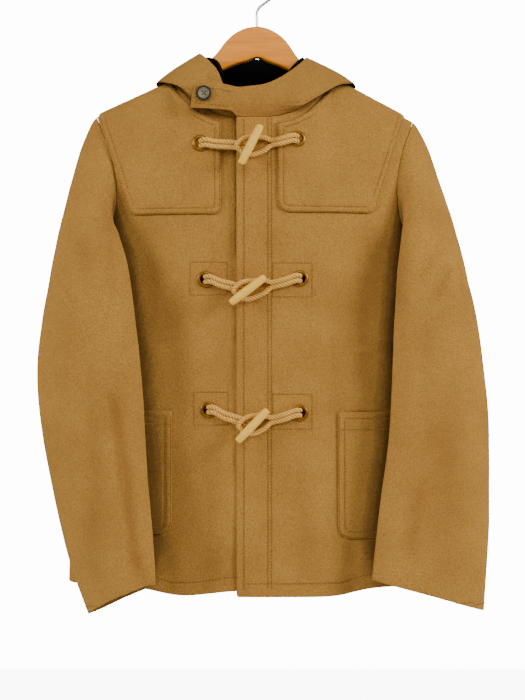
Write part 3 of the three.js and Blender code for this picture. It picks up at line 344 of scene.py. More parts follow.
# The back is cut in one piece. It hangs from the shoulders in a few broad vertical folds.
back = cloth(
    "back_cloth",
    "back",
    3,
    held_at_seams("back", 1),
    [
        (-118, -260, -136, -560, 22, 2.6),
        (112, -260, 132, -600, 24, 2.4),
        (-40, -380, -46, -780, 26, 2.2),
        (48, -420, 44, -800, 26, 2.0),
        (-180, -600, -184, -836, 18, 2.4),
        (182, -610, 186, -836, 18, 2.2),
        (-150, -215, -120, -260, 12, 1.4),
        (148, -215, 118, -262, 12, 1.3),
    ],
    37,
)


# Each sleeve hangs in front of the body's side. Its folds run down its length, and a few short ones cross
# the
# elbow. Only the front half takes the front's folds; the others are for the side that faces back.
def round_sleeve(sign):
    def way(p):
        z = p[:, 2]
        fit = sleeve_axis[sign]
        centre = np.stack([np.polyval(fit[0], z), np.polyval(fit[1], z)], axis=1)
        out = np.zeros_like(p)
        out[:, 0] = (p[:, 0] - centre[:, 0]) * 0.3
        out[:, 1] = p[:, 1] - centre[:, 1]
        out /= np.linalg.norm(out, axis=1)[:, None] + 1e-6
        upper = smooth((-250 - z) / 80)
        return out, upper * smooth((-out[:, 1] + 0.25) / 0.6)

    return way


def slimmer(sign, rows, corner):
    """Draws the sleeve's outer side in by the width in each (z, width) row and rounds the cuff's low corner."""
    z, width = np.array(rows).T

    def form(p):
        centre = np.polyval(sleeve_axis[sign][0], p[:, 2])
        outer = smooth((sign * (p[:, 0] - centre) + 60) / 120)
        p[:, 0] -= sign * np.interp(-p[:, 2], -z, width) * outer
        low = smooth((p[:, 2].min() + 34 - p[:, 2]) / 34) * smooth((sign * (p[:, 0] - centre) - 35) / 40)
        p[:, 2] += corner * low
        p[:, 0] -= sign * 0.5 * corner * low

    return form


sleeve_axis = {}
for sign, node in ((1, "sleeve_left"), (-1, "sleeve_right")):
    own = places(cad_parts[node].data) * 1000
    sleeve_axis[sign] = [np.polyfit(own[:, 2], own[:, k], 3) for k in (0, 1)]
sleeve_left = cloth(
    "sleeve_left_cloth",
    "sleeve_left",
    3,
    round_sleeve(1),
    [
        (253, -404, 232, -448, 7, 2.4),
        (266, -396, 272, -440, 6, 1.6),
        (240, -382, 214, -420, 9, 1.5),
        (208, -690, 198, -780, 12, 2.6),
        (252, -560, 256, -800, 26, 2.4),
        (188, -300, 180, -470, 9, 1.6),
        (286, -520, 292, -700, 12, -1.6),
        (225, -480, 222, -640, 16, 1.2),
    ],
    41,
    form=slimmer(
        1,
        [
            (-240, 0),
            (-281, 3.9),
            (-374, 6.5),
            (-421, 7.8),
            (-468, 5.6),
            (-577, 5.2),
            (-639, 6.5),
            (-748, 5.2),
            (-852, 8),
        ],
        3,
    ),
)
sleeve_right = cloth(
    "sleeve_right_cloth",
    "sleeve_right",
    3,
    round_sleeve(-1),
    [
        (-184, -575, -168, -680, 9, 4.2),
        (-168, -670, -152, -800, 8, 4.4),
        (-214, -600, -204, -800, 16, 2.4),
        (-250, -400, -246, -640, 20, -2.6),
        (-196, -300, -186, -440, 10, 1.8),
        (-236, -360, -214, -410, 10, 1.4),
        (-148, -775, -140, -820, 6, 1.8),
    ],
    53,
    form=slimmer(
        -1,
        [
            (-240, 0),
            (-281, 2.6),
            (-374, 6.5),
            (-421, 7.8),
            (-515, 5.4),
            (-577, 6.5),
            (-639, 7.8),
            (-748, 13),
            (-852, 16),
        ],
        6,
    ),
)

# The right half's front end tucks down behind the tab.
def tucked(p):
    under_tab = smooth((p[:, 0] + 78) / 16) * smooth((-40 - p[:, 1]) / 8) * smooth((p[:, 2] + 190) / 25)
    p[:, 2] -= 12 * under_tab


# The hood lies down behind the neck, its face edge making a U; the throat tab is cut in one with its left
# half.
# Painted shade: both hood halves get a shade value, so the whole hood is painted darker.
hood_left = cloth("hood_left_cloth", "hood_left", 3, to_front, [], 61, waves=((60, 0.5),), shade=0.45)
hood_right = cloth(
    "hood_right_cloth", "hood_right", 3, to_front, [], 67, waves=((60, 0.5),), shade=0.35, form=tucked
)


# Lines of topstitching and patches lie on the visual cloth, so they are dropped onto it from the front or
# the back.
def tree_of(*pieces):
    points, faces = [], []
    for piece in pieces:
        base = len(points)
        points += [v.co.copy() for v in piece.data.vertices]
        faces += [[base + i for i in f.vertices] for f in piece.data.polygons]
    return BVHTree.FromPolygons(points, faces)


# Yokes and pockets are single layers sewn flat on the fronts: a grid between the lower and the upper
# outline,
# dropped on the front and raised by the cloth's thickness, with a rolled edge and a furrow under each seam.
lip = np.array([0, 0.5, 1.4, 3, 5, 6.5, 8, 9.5, 11.5, 14.0])


def steps(length, cells):
    near = lip[lip < length / 2.2]
    middle = np.linspace(near[-1], length - near[-1], cells)[1:-1]
    return np.concatenate([near, middle, length - near[::-1]]) / length


def outline(x, low, high):
    """The closed (x, z) outline of a piece given by its lower and upper edge."""
    return np.concatenate([np.stack([x, low], 1), np.stack([x, high], 1)[::-1]])


def distance(p, loop):
    a, b = loop, np.roll(loop, -1, axis=0)
    d = b - a
    t = ((p[:, None] - a) * d).sum(2) / np.maximum((d * d).sum(1), 1e-9)
    near = a + np.clip(t, 0, 1)[..., None] * d
    return np.sqrt(((p[:, None] - near) ** 2).sum(2).min(1))


def drop(tree, x, z, side=-1):
    """The visual cloth's point and normal at (x, z) in millimetres, seen from the front (-1) or the back (1)."""
    hit = tree.ray_cast(Vector((x / 1000, side * 0.5, z / 1000)), Vector((0, -side, 0)))
    if hit[0] is None:
        hit = tree.find_nearest(Vector((x / 1000, side * 0.06, z / 1000)))
    return hit[0], hit[1] if hit[1].y * side > 0 else -hit[1]


def patch(name, node, under, inner, outer, seams):
    span = abs(outer - inner)
    x = inner + (outer - inner) * steps(span, 34)
    low, high = outline_at(node, x, np.min), outline_at(node, x, np.max)
    loop = outline(x, low, high)
    share = steps(float(np.median(high - low)), 40)
    flat = np.array([(x[i], high[i] + (low[i] - high[i]) * v) for v in share for i in range(len(x))])
    d = distance(flat, loop)
    height = 3.4 - 1.1 * np.exp(-((d / 0.7) ** 2))
    for seam in seams:
        height -= 0.7 * np.exp(-(((d - seam) / 1.3) ** 2))
    tree = tree_of(under)
    top, base = [], []
    for (px, pz), rise in zip(flat, height):
        point, normal = drop(tree, px, pz)
        top.append(tuple(point + normal * rise / 1000))
        base.append(tuple(point + normal * 0.0004))
    n, rows, total = len(x), len(share), len(flat)
    faces = []
    for j in range(rows - 1):
        for i in range(n - 1):
            k = j * n + i
            faces.append((k, k + 1, k + n + 1, k + n))
            faces.append((total + k, total + k + n, total + k + n + 1, total + k + 1))
    rim = list(range(n)) + [j * n + n - 1 for j in range(1, rows)]
    rim += [(rows - 1) * n + i for i in range(n - 2, -1, -1)] + [j * n for j in range(rows - 2, 0, -1)]
    faces += [(a, total + a, total + b, b) for a, b in zip(rim, rim[1:] + rim[:1])]
    mesh = bpy.data.meshes.new(name)
    mesh.from_pydata(top + base, [], faces)
    work = bmesh.new()
    work.from_mesh(mesh)
    bmesh.ops.remove_doubles(work, verts=work.verts, dist=1e-5)
    bmesh.ops.recalc_face_normals(work, faces=work.faces)
    work.to_mesh(mesh)
    work.free()
    mesh.attributes.new("fold_shade", "FLOAT", "POINT")
    return finish_piece(name, mesh, melton, "melton", node), loop


yoke_left, yoke_left_edge = patch("yoke_left_cloth", "yoke_left", front_left, 27.2, 201, (1.5, 8))
yoke_right, yoke_right_edge = patch("yoke_right_cloth", "yoke_right", front_right, -47.7, -216, (1.5, 8))
pocket_left, pocket_left_edge = patch(
    "pocket_left_cloth", "pocket_left", front_left, 107.2, 218.8, (1.5, 9)
)
pocket_right, pocket_right_edge = patch(
    "pocket_right_cloth", "pocket_right", front_right, -112.2, -221.8, (1.5, 9)
)


# Neck lining: a strip of smooth black cloth inside the collar, plain and slightly glossy.
lining_cloth, tree, shader = new_material("black_lining")
shader.inputs["Base Color"].default_value = linear("#020203")
shader.inputs["Roughness"].default_value = 0.8
shader.inputs["Specular IOR Level"].default_value = 0.1
neck_mesh = panel_mesh("neck_lining", 2)
neck_mesh.attributes.new("fold_shade", "FLOAT", "POINT")
lining = finish_piece("lining_cloth", neck_mesh, lining_cloth, "lining", "neck_lining")


# Half lining: the same black cloth covers the inside of the back below the neck, so that nothing tan shows
# there.
inside = tree_of(back, hood_left, hood_right)
rows = []
for z in np.linspace(-104, -262, 34):
    half = 78 * math.sqrt(max(1 - ((z + 104) / -176) ** 2, 0.02))
    row = []
    for x in np.linspace(-half, half, 31):
        hit = inside.ray_cast(Vector((x / 1000, 0.004, z / 1000)), Vector((0, 1, 0)))
        row.append(hit[0].y if hit[0] is not None and hit[0].y < 0.075 else None)
    rows.append((z, half, row))
verts, faces = [], []
for layer in (0.4, 0.9):
    for z, half, row in rows:
        known = [(i, y) for i, y in enumerate(row) if y is not None]
        for i, x in enumerate(np.linspace(-half, half, 31)):
            y = np.interp(i, [k for k, _ in known], [v for _, v in known]) if known else 0.04
            verts.append((x, y * 1000 - layer, z))
count = 34 * 31
for j in range(33):
    for i in range(30):
        k = j * 31 + i
        faces += [(k, k + 31, k + 32, k + 1), (count + k, count + k + 1, count + k + 32, count + k + 31)]
rim = list(range(31)) + [j * 31 + 30 for j in range(1, 34)] + [33 * 31 + i for i in range(29, -1, -1)]
rim += [j * 31 for j in range(32, 0, -1)]
faces += [(a, b, count + b, count + a) for a, b in zip(rim, rim[1:] + rim[:1])]


# Round things are swept or turned. A tube follows a line of points with its own radius at each.
def swept(points, radius, sides, closed=False):
    p = np.array(points, dtype=float)
    r = np.broadcast_to(np.asarray(radius, dtype=float), (len(p),))
    t = np.gradient(p, axis=0)
    t /= np.linalg.norm(t, axis=1)[:, None] + 1e-12
    u = np.cross(t[0], [0.0, 1.0, 0.3])
    u /= np.linalg.norm(u)
    around = np.arange(sides) * 2 * math.pi / sides
    verts = []
    for k in range(len(p)):
        u = u - t[k] * (u @ t[k])
        u /= np.linalg.norm(u)
        v = np.cross(t[k], u)
        verts += [tuple(p[k] + r[k] * (math.cos(a) * u + math.sin(a) * v)) for a in around]
    faces = []
    for k in range(len(p) - 1):
        for i in range(sides):
            j = (i + 1) % sides
            faces.append((k * sides + i, k * sides + j, (k + 1) * sides + j, (k + 1) * sides + i))
    faces.append(tuple(range(sides))[::-1])
    faces.append(tuple((len(p) - 1) * sides + i for i in range(sides)))
    return verts, faces


def turned(profile, centre, axis, sides):
    """A lathed body: profile rows are [radius, distance along the axis] in millimetres; radius 0 closes an end."""
    way = Vector(axis).normalized()
    side = way.cross(Vector((0.31, 0.2, 0.9))).normalized()
    up = way.cross(side)
    verts, faces, rings = [], [], []
    for radius, along in profile:
        ring = []
        for i in range(1 if radius == 0 else sides):
            a = 2 * math.pi * i / sides
            ring.append(len(verts))
            verts.append(tuple(Vector(centre) + way * along + (side * math.cos(a) + up * math.sin(a)) * radius))
        rings.append(ring)
    for a, b in zip(rings, rings[1:]):
        for i in range(sides):
            j = (i + 1) % sides
            corners = [a[i % len(a)], a[j % len(a)], b[j % len(b)], b[i % len(b)]]
            faces.append(tuple(dict.fromkeys(corners)))
    return verts, faces


def joined_mesh(name, parts):
    verts, faces = [], []
    for part_verts, part_faces in parts:
        base = len(verts)
        verts += [tuple(c / 1000 for c in v) for v in part_verts]
        faces += [tuple(base + i for i in f) for f in part_faces]
    mesh = bpy.data.meshes.new(name)
    mesh.from_pydata(verts, [], faces)
    work = bmesh.new()
    work.from_mesh(mesh)
    bmesh.ops.recalc_face_normals(work, faces=work.faces)
    work.to_mesh(mesh)
    work.free()
    return mesh


def even(points, step):
    """Points at equal steps along a smooth curve through the given ones."""
    p = np.array(points, dtype=float)
    ends = np.vstack([2 * p[0] - p[1], p, 2 * p[-1] - p[-2]])
    fine = []
    for k in range(1, len(ends) - 2):
        a, b, c, d = ends[k - 1], ends[k], ends[k + 1], ends[k + 2]
        for t in np.linspace(0, 1, 24, endpoint=False):
            fine.append(0.5 * (2 * b + (c - a) * t + (2 * a - 5 * b + 4 * c - d) * t**2 + (3 * b - a - 3 * c + d) * t**3))
    fine = np.array(fine + [p[-1]])
    run = np.concatenate([[0], np.cumsum(np.linalg.norm(np.diff(fine, axis=0), axis=1))])
    at = np.linspace(0, run[-1], max(int(run[-1] / step), 2))
    return np.stack([np.interp(at, run, fine[:, k]) for k in range(3)], axis=1)


half_lining = finish_piece(
    "back_half_lining", joined_mesh("back_half_lining", [(verts, faces)]), lining_cloth, "lining"
)


# Rope: three strands of jute laid together. Each cord is doubled, comes out of one eyelet and goes back
# through it.
# Fine fibres run along the strands, and painted shade darkens the grooves between them.
rope, tree, shader = new_material("jute_rope")
place = add(tree, "ShaderNodeTexCoord")
fibre = add(tree, "ShaderNodeTexNoise", {"Scale": 1400.0, "Detail": 4.0}, {"Vector": (place, "Object")})
tone = add(
    tree, "ShaderNodeMix", {"A": linear("#ffd070"), "B": linear("#d29236")}, {"Factor": (fibre, "Fac")}, data_type="RGBA"
)
out_of_groove_shade = add(tree, "ShaderNodeAttribute", attribute_name="out_of_groove_shade")
# Painted shade: the grooves between strands get a dark brown in place of the jute colour.
laid = add(
    tree, "ShaderNodeMix", {"A": linear("#5f3c12")}, {"Factor": (out_of_groove_shade, "Fac"), "B": (tone, "Result")}, data_type="RGBA"
)
bump = add(tree, "ShaderNodeBump", {"Strength": 0.6, "Distance": 0.0004}, {"Height": (fibre, "Fac")})
tree.links.new(laid.outputs["Result"], shader.inputs["Base Color"])
shader.inputs["Specular IOR Level"].default_value = 0.15
tree.links.new(bump.outputs["Normal"], shader.inputs["Normal"])
shader.inputs["Roughness"].default_value = 0.8
cords = {
    "holder_1": [
        (-74.8, -41, -238.8, 3.1),
        (-74.5, -52, -238.5, 3.1),
        (-73.1, -58, -238.4, 3.0),
        (-67.2, -61.2, -238.2, 3.1),
        (-55.5, -59.6, -240.0, 3.1),
        (-36, -62.4, -241.6, 3.0),
        (-22, -61.6, -242.6, 3.0),
        (-13.8, -61.6, -243.2, 3.1),
        (-6.8, -62.1, -243.8, 2.2),
    ],
    "loop_1": [
        (52.1, -45.6, -233.7, 3.1),
        (53, -56.6, -233.5, 3.1),
        (52.3, -62.6, -233.4, 3.1),
        (46.7, -65.8, -233.4, 3.0),
        (33, -65.6, -236.9, 3.0),
        (19, -62.1, -239.2, 3.1),
        (10, -63.6, -240.8, 8.0),
        (-5.8, -64.7, -243.4, 11.5),
        (-16.8, -68.3, -243.8, 9.5),
        (-23.3, -68.6, -243.8, 4.2),
    ],
    "holder_2": [
        (-67.9, -42.4, -418.6, 3.1),
        (-68, -53.4, -418.5, 3.1),
        (-66.8, -58.2, -418.4, 3.1),
        (-61.1, -60.9, -418.4, 3.1),
        (-49, -60.6, -423.6, 3.0),
        (-36, -63.4, -427.1, 3.0),
        (-22, -62.6, -430.9, 3.1),
        (-17.8, -62.6, -432.1, 3.0),
        (-10.8, -63.1, -433.8, 2.1),
    ],
    "loop_2": [
        (56.4, -45.3, -417.5, 3.1),
        (57, -56.3, -417.5, 3.1),
        (56.1, -61, -417.5, 3.1),
        (50.4, -63.8, -417.5, 3.1),
        (37, -63.8, -422.2, 3.1),
        (19, -63.1, -426.5, 3.1),
        (10, -64.6, -428.6, 8.0),
        (-9.8, -65.8, -433.3, 11.5),
        (-20.8, -69.3, -433.8, 9.5),
        (-27.3, -69.6, -433.8, 4.1),
    ],
    "holder_3": [
        (-64, -43, -591.3, 3.1),
        (-64, -54, -591.0, 3.1),
        (-62.8, -58.7, -590.8, 3.1),
        (-57, -61.4, -590.8, 3.1),
        (-45, -60.7, -597.4, 3.1),
        (-36, -63.5, -600.5, 3.1),
        (-22, -62.7, -605.2, 3.1),
        (-11.5, -62.7, -608.8, 3.0),
        (-4.5, -63.2, -610.8, 2.1),
    ],
    "loop_3": [
        (56.4, -45.5, -595.2, 3.1),
        (57, -56.5, -595.0, 3.1),
        (56.1, -61.1, -595.0, 3.1),
        (50.4, -63.9, -594.9, 3.1),
        (37, -63.8, -600.0, 3.1),
        (19, -63.2, -604.5, 3.1),
        (10, -64.7, -606.8, 8.0),
        (-3.5, -65.8, -610.2, 11.5),
        (-14.5, -69.4, -610.8, 9.5),
        (-21, -69.7, -610.8, 4.2),
    ],
}
for name, rows in cords.items():
    there = [(x, y, z + half + 0.35) for x, y, z, half in rows]
    back_again = [(x, y, z - half - 0.35) for x, y, z, half in rows[::-1]]
    x, y, z, half = rows[-1]
    centre = even(there + [(x - half * 0.75, y, z)] + back_again, 1.1)
    t = np.gradient(centre, axis=0)
    t /= np.linalg.norm(t, axis=1)[:, None]
    u = np.cross(t, [0.0, 1.0, 0.0])
    u /= np.linalg.norm(u, axis=1)[:, None] + 1e-9
    for k in range(1, len(u)):
        if u[k] @ u[k - 1] < 0:
            u[k] = -u[k]
    v = np.cross(t, u)
    turn = np.arange(len(centre)) * 1.1 * 2 * math.pi / 12.0
    strands = []
    for third in range(3):
        a = turn + third * 2 * math.pi / 3
        line = centre + 1.75 * (np.cos(a)[:, None] * u + np.sin(a)[:, None] * v)
        strands.append(swept(line, 1.68, 10))
    mesh = joined_mesh(name, strands)
    # Near the cord's centre a point lies in a groove and gets painted shade.
    co = places(mesh) * 1000
    reach = np.sqrt(((co[:, None] - centre[None]) ** 2).sum(2).min(1))
    out_of_groove_shade = mesh.attributes.new("out_of_groove_shade", "FLOAT", "POINT")
    out_of_groove_shade.data.foreach_set("value", smooth((reach - 2.1) / 1.2))
    finish_piece(name + "_rope", mesh, rope, "rope", name)


# Toggles: pale turned wood, fuller in the middle and cut flat at the ends, with the grain along them.
toggle_wood, tree, shader = new_material("pale_toggle_wood")
own = add(tree, "ShaderNodeAttribute", attribute_name="own")
grain = add(
    tree,
    "ShaderNodeTexNoise",
    {"Scale": 1.0, "Detail": 5.0, "Roughness": 0.65},
    {"Vector": (own, "Vector")},
)
tone = add(tree, "ShaderNodeMapRange", {"From Min": 0.3, "From Max": 0.7}, {"Value": (grain, "Fac")})
tint = add(
    tree, "ShaderNodeMix", {"A": linear("#ffd65c"), "B": linear("#e9a93a")}, {"Factor": (tone, "Result")}, data_type="RGBA"
)
tree.links.new(tint.outputs["Result"], shader.inputs["Base Color"])
shader.inputs["Roughness"].default_value = 0.5
shader.inputs["Specular IOR Level"].default_value = 0.25
toggles = {
    "toggle_1": [(-21, -76.9, -269.5), (5.5, -76.9, -218), 0.8],
    "toggle_2": [(-32.5, -81.9, -449.5), (9, -77.9, -418), 2.7],
    "toggle_3": [(-23.5, -82.0, -629.5), (12.5, -78.0, -592), 3.1],
}
for name, (a, b, seat) in toggles.items():
    a, b = Vector(a), Vector(b)
    a.y += seat
    b.y += seat
    axis = (b - a).normalized()
    profile = [(0, -28.5), (3.4, -28.5), (4.1, -28.1), (4.35, -27.2)]
    profile += [(4.35 + 1.25 * math.sqrt(1 - (s / 27.2) ** 2), s) for s in np.linspace(-26, 26, 17)]
    profile += [(4.35, 27.2), (4.1, 28.1), (3.4, 28.5), (0, 28.5)]
    mesh = joined_mesh(name, [turned(profile, (a + b) / 2, axis, 28)])
    local = (places(mesh) * 1000 - np.array((a + b) / 2)) @ np.array(axis.to_track_quat("Z", "Y").to_matrix())
    own = mesh.attributes.new("own", "FLOAT_VECTOR", "POINT")
    own.data.foreach_set("vector", (local * np.array([1.1, 1.1, 0.09])).ravel())
    finish_piece(name + "_wood", mesh, toggle_wood, "toggle_wood", name)

# Grommets: two-part brass eyelets with a rolled rim, browned with age.
brass, tree, shader = new_material("aged_brass")
place = add(tree, "ShaderNodeTexCoord")
patina = add(tree, "ShaderNodeTexNoise", {"Scale": 300.0, "Detail": 3.0}, {"Vector": (place, "Object")})
tone = add(
    tree, "ShaderNodeMix", {"A": linear("#b27c2a"), "B": linear("#6e4212")}, {"Factor": (patina, "Fac")}, data_type="RGBA"
)
tree.links.new(tone.outputs["Result"], shader.inputs["Base Color"])
shader.inputs["Metallic"].default_value = 0.85
shader.inputs["Roughness"].default_value = 0.36
eyelets = {
    "grommet_right_1": [(-74.5, -52.0, -238.5), (0.030, -0.999, 0.026), 6.25],
    "grommet_left_1": [(53, -56.6, -233.5), (0.078, -0.997, 0.017), 5.9],
    "grommet_right_2": [(-68, -53.4, -418.5), (-0.008, -1, 0.010), 2.9],
    "grommet_left_2": [(57, -56.3, -417.5), (0.057, -0.998, 0), 2.6],
    "grommet_right_3": [(-64, -54.0, -591), (-0.004, -1, 0.026), 2.7],
    "grommet_left_3": [(57, -56.5, -595), (0.054, -0.998, 0.012), 2.6],
}
for name, (point, normal, depth) in eyelets.items():
    face = depth / 2 + 0.47
    ring = [
        (7.5, -face),
        (10.4, -face),
        (11, -face - 0.6),
        (10.2, -face - 1.4),
        (8.4, -face - 1.4),
        (7.0, -face - 0.5),
    ]
    ring += [
        (6.8, 0),
        (7.0, face + 0.5),
        (7.5, face + 1.2),
        (8.4, face + 1.5),
        (9.4, face + 1.4),
        (10.4, face + 0.9),
    ]
    ring += [(11, face + 0.35), (10.7, face), (7.5, face), (7.5, -face)]
    mesh = joined_mesh(name, [turned(ring, point, normal, 36)])
    finish_piece(name + "_brass", mesh, brass, "brass", name)

# Throat button: dark horn with a raised rim and four holes, sewn with four strands of thread. Its dish is
# painted pale grey as a reflection, and each hole holds a dark disc of painted shadow.
horn, tree, shader = new_material("horn")
place = add(tree, "ShaderNodeTexCoord")
cloud = add(tree, "ShaderNodeTexNoise", {"Scale": 130.0, "Detail": 3.0}, {"Vector": (place, "Object")})
# Painted reflection: the dish inside the rim is a pale grey mottle standing for light it reflects.
tone = add(
    tree, "ShaderNodeMix", {"A": linear("#8d8163"), "B": linear("#4b402c")}, {"Factor": (cloud, "Fac")}, data_type="RGBA"
)
tree.links.new(tone.outputs["Result"], shader.inputs["Base Color"])
shader.inputs["Roughness"].default_value = 0.3
dark, tree, shader = new_material("dark_horn_rim_and_hole_shadow")
shader.inputs["Base Color"].default_value = linear("#17120b")
shader.inputs["Roughness"].default_value = 0.8
button_at = Vector((-69.5, -66.85, -175))
button_axis = Vector((-0.06, -1, 0.04)).normalized()
dish = [
    (0, 0.3),
    (8.6, 0.3),
    (9.5, 0.7),
    (10, 1.6),
    (10, 3.0),
    (9.6, 3.6),
    (8.9, 3.8),
    (8.1, 3.6),
    (7.4, 3.2),
    (5, 2.6),
    (0, 2.4),
]
mesh = joined_mesh("tab_button", [turned(dish, button_at, button_axis, 40)])
button = finish_piece("tab_button_horn", mesh, horn, "horn", "tab_button")
button.data.materials.append(dark)
# The raised rim takes the dark material as the horn's own colour.
for face in button.data.polygons:
    if (face.center * 1000 - button_at).cross(button_axis).length > 7.6:
        face.material_index = 1
across = button_axis.cross(Vector((0, 0, 1))).normalized()
upright = across.cross(button_axis)
holes = [button_at + button_axis * 2.5 + across * (1.9 * a) + upright * (1.9 * b) for a in (-1, 1) for b in (-1, 1)]
# Painted shadow: a thin dark disc in each hole.
rounds = [turned([(0, 0.05), (1.0, 0.05), (1.0, 0.2), (0, 0.2)], h, button_axis, 12) for h in holes]
finish_piece("tab_button_holes", joined_mesh("holes", rounds), dark, "horn")
threads = [swept(even([a, (a + b) / 2 + button_axis * 0.7, b], 0.8), 0.35, 6) for a, b in ((holes[0], holes[3]), (holes[1], holes[2]))]
finish_piece("tab_button_thread", joined_mesh("threads", threads), thread_and_painted_seam_line, "melton")

# Hanger: one flat piece of wood with rounded edges under yellow varnish, darker where the underside is in
# shade.
varnish, tree, shader = new_material("varnished_wood")
place = add(tree, "ShaderNodeTexCoord")
stretch = add(
    tree,
    "ShaderNodeMapping",
    {"Scale": (14.0, 200.0, 260.0), "Rotation": (0.0, 0.25, 0.0)},
    {"Vector": (place, "Object")},
)
grain = add(
    tree,
    "ShaderNodeTexNoise",
    {"Scale": 1.0, "Detail": 4.0, "Distortion": 0.6},
    {"Vector": (stretch, "Vector")},
)
tone = add(tree, "ShaderNodeMapRange", {"From Min": 0.35, "From Max": 0.7}, {"Value": (grain, "Fac")})
tint = add(
    tree, "ShaderNodeMix", {"A": linear("#f09400"), "B": linear("#dc7c00")}, {"Factor": (tone, "Result")}, data_type="RGBA"
)
tree.links.new(tint.outputs["Result"], shader.inputs["Base Color"])
shader.inputs["Roughness"].default_value = 0.3
shader.inputs["Specular IOR Level"].default_value = 0.2
shader.inputs["Coat Weight"].default_value = 0.12
shader.inputs["Coat Roughness"].default_value = 0.12
wood = panel_mesh("hanger", 2, 0.35)
finish_piece("hanger_wood", wood, varnish, "varnished_wood", "hanger")

# Hook: chromed steel wire, screwed into the hanger and bent round; its open end is rounded.
chrome, tree, shader = new_material("chromed_wire")
shader.inputs["Base Color"].default_value = linear("#c9ccd2")
shader.inputs["Metallic"].default_value = 1.0
shader.inputs["Roughness"].default_value = 0.18
bend = [(0, 0, -84), (0, 0, -66), (0, 0, -50), (3.8, 0, -42.4), (13.5, 0, -34.6)]
bend += [(24.5 * math.cos(a), 0, -22.5 + 24.5 * math.sin(a)) for a in np.radians(np.linspace(-8, 200, 40))]
wire = even(bend, 1.3)
thick = np.full(len(wire), 2.0)
thick[-4:] = [1.98, 1.85, 1.5, 0.9]
finish_piece("hook_wire", joined_mesh("hook", [swept(wire, thick, 18)]), chrome, "chrome", "hook")


# Topstitching: short stitches of thread the colour of the cloth, over a narrow strip of painted seam shadow.
def sew(name, tree, lines, side=-1):
    stitches, shade_verts, shade_faces = [], [], []
    for line in lines:
        flat = even([(x, 0.0, z) for x, z in line], 4.2)
        spots = [drop(tree, x, z, side) for x, _, z in flat]
        points = [spot[0] * 1000 for spot in spots]
        for k in range(len(points) - 1):
            a, b = points[k], points[k + 1]
            if (b - a).length > 9:
                continue
            n = (spots[k][1] + spots[k + 1][1]).normalized()
            end = a + (b - a) * 0.72
            body = [
                a + n * 0.05,
                a + (end - a) * 0.15 + n * 0.34,
                a + (end - a) * 0.85 + n * 0.34,
                end + n * 0.05,
            ]
            stitches.append(swept([tuple(p) for p in body], [0.2, 0.42, 0.42, 0.2], 6))
            # The strip under the stitches is painted shadow, darker cloth where the seam would sink.
            wide = (b - a).cross(n).normalized() * 0.55
            base = len(shade_verts)
            for q, m in ((a, spots[k][1]), (b, spots[k + 1][1])):
                shade_verts += [tuple(q + wide + m * 0.14), tuple(q - wide + m * 0.14)]
            shade_faces.append((base, base + 1, base + 3, base + 2))
    mesh = joined_mesh(name, stitches)
    mesh.attributes.new("fold_shade", "FLOAT", "POINT")
    finish_piece(name + "_thread", mesh, melton, "melton")
    strip = joined_mesh(name, [(shade_verts, shade_faces)])
    strip.attributes.new("fold_shade", "FLOAT", "POINT")
    finish_piece(name + "_line", strip, thread_and_painted_seam_line, "melton")


def inset(loop, amount, skip=None):
    """The loop moved inwards, without the points that skip names, as open runs."""
    a = even([(x, 0.0, z) for x, z in np.vstack([loop, loop[:1]])], 3.0)[:, [0, 2]]
    t = np.roll(a, -1, axis=0) - np.roll(a, 1, axis=0)
    t /= np.linalg.norm(t, axis=1)[:, None] + 1e-9
    n = np.stack([-t[:, 1], t[:, 0]], axis=1)
    area = (a[:, 0] * np.roll(a[:, 1], -1) - np.roll(a[:, 0], -1) * a[:, 1]).sum()
    moved = a + n * amount * np.sign(area)
    good = distance(moved, loop) > amount - 0.25
    runs, run = [], []
    for p, ok in zip(moved, good):
        if ok and not (skip and skip(*p)):
            run.append(tuple(p))
        elif len(run) > 3:
            runs.append(run)
            run = []
        else:
            run = []
    if len(run) > 3:
        runs.append(run)
    return runs


def box_lines(x0, x1, z0, z1):
    return [[(x0, z0), (x1, z0)], [(x1, z0), (x1, z1)], [(x1, z1), (x0, z1)], [(x0, z1), (x0, z0)]]


def hem_line(node, x0, x1, rise):
    x = np.linspace(x0, x1, 40)
    return [tuple(p) for p in np.stack([x, outline_at(node, x, np.min) + rise], axis=1)]


front_left_tree, front_right_tree = tree_of(front_left), tree_of(front_right)
sew(
    "front_left_seams",
    front_left_tree,
    [
        [(-17, -206), (-17, -420), (-17, -640), (-17, -828)],
        [(14.8, -200), (14.8, -420), (14.8, -640), (14.8, -826)],
        [(19.4, -200), (19.4, -420), (19.4, -640), (19.4, -826)],
        hem_line("front_left", -15, 250, 18),
    ]
    + box_lines(21, 73, -396.9, -441.9)
    + box_lines(21, 73, -570.2, -616.5),
)
sew(
    "front_right_seams",
    front_right_tree,
    [hem_line("front_right", -250, -28, 18)] + box_lines(-88.4, -39.5, -395.6, -439.2) + box_lines(
        -83.1, -38.1, -567.6, -611.2
    ),
)
sew(
    "tab_seams",
    tree_of(hood_left),
    [
        [(-34, -172), (-56, -168.5), (-80.5, -164.5)],
        [(-80.5, -164.5), (-80.2, -176), (-79.5, -187.5)],
        [(-79.5, -187.5), (-56, -189.5), (-38, -191.5)],
    ],
)
sew("back_seams", tree_of(back), [hem_line("back", -250, 250, 18)], side=1)
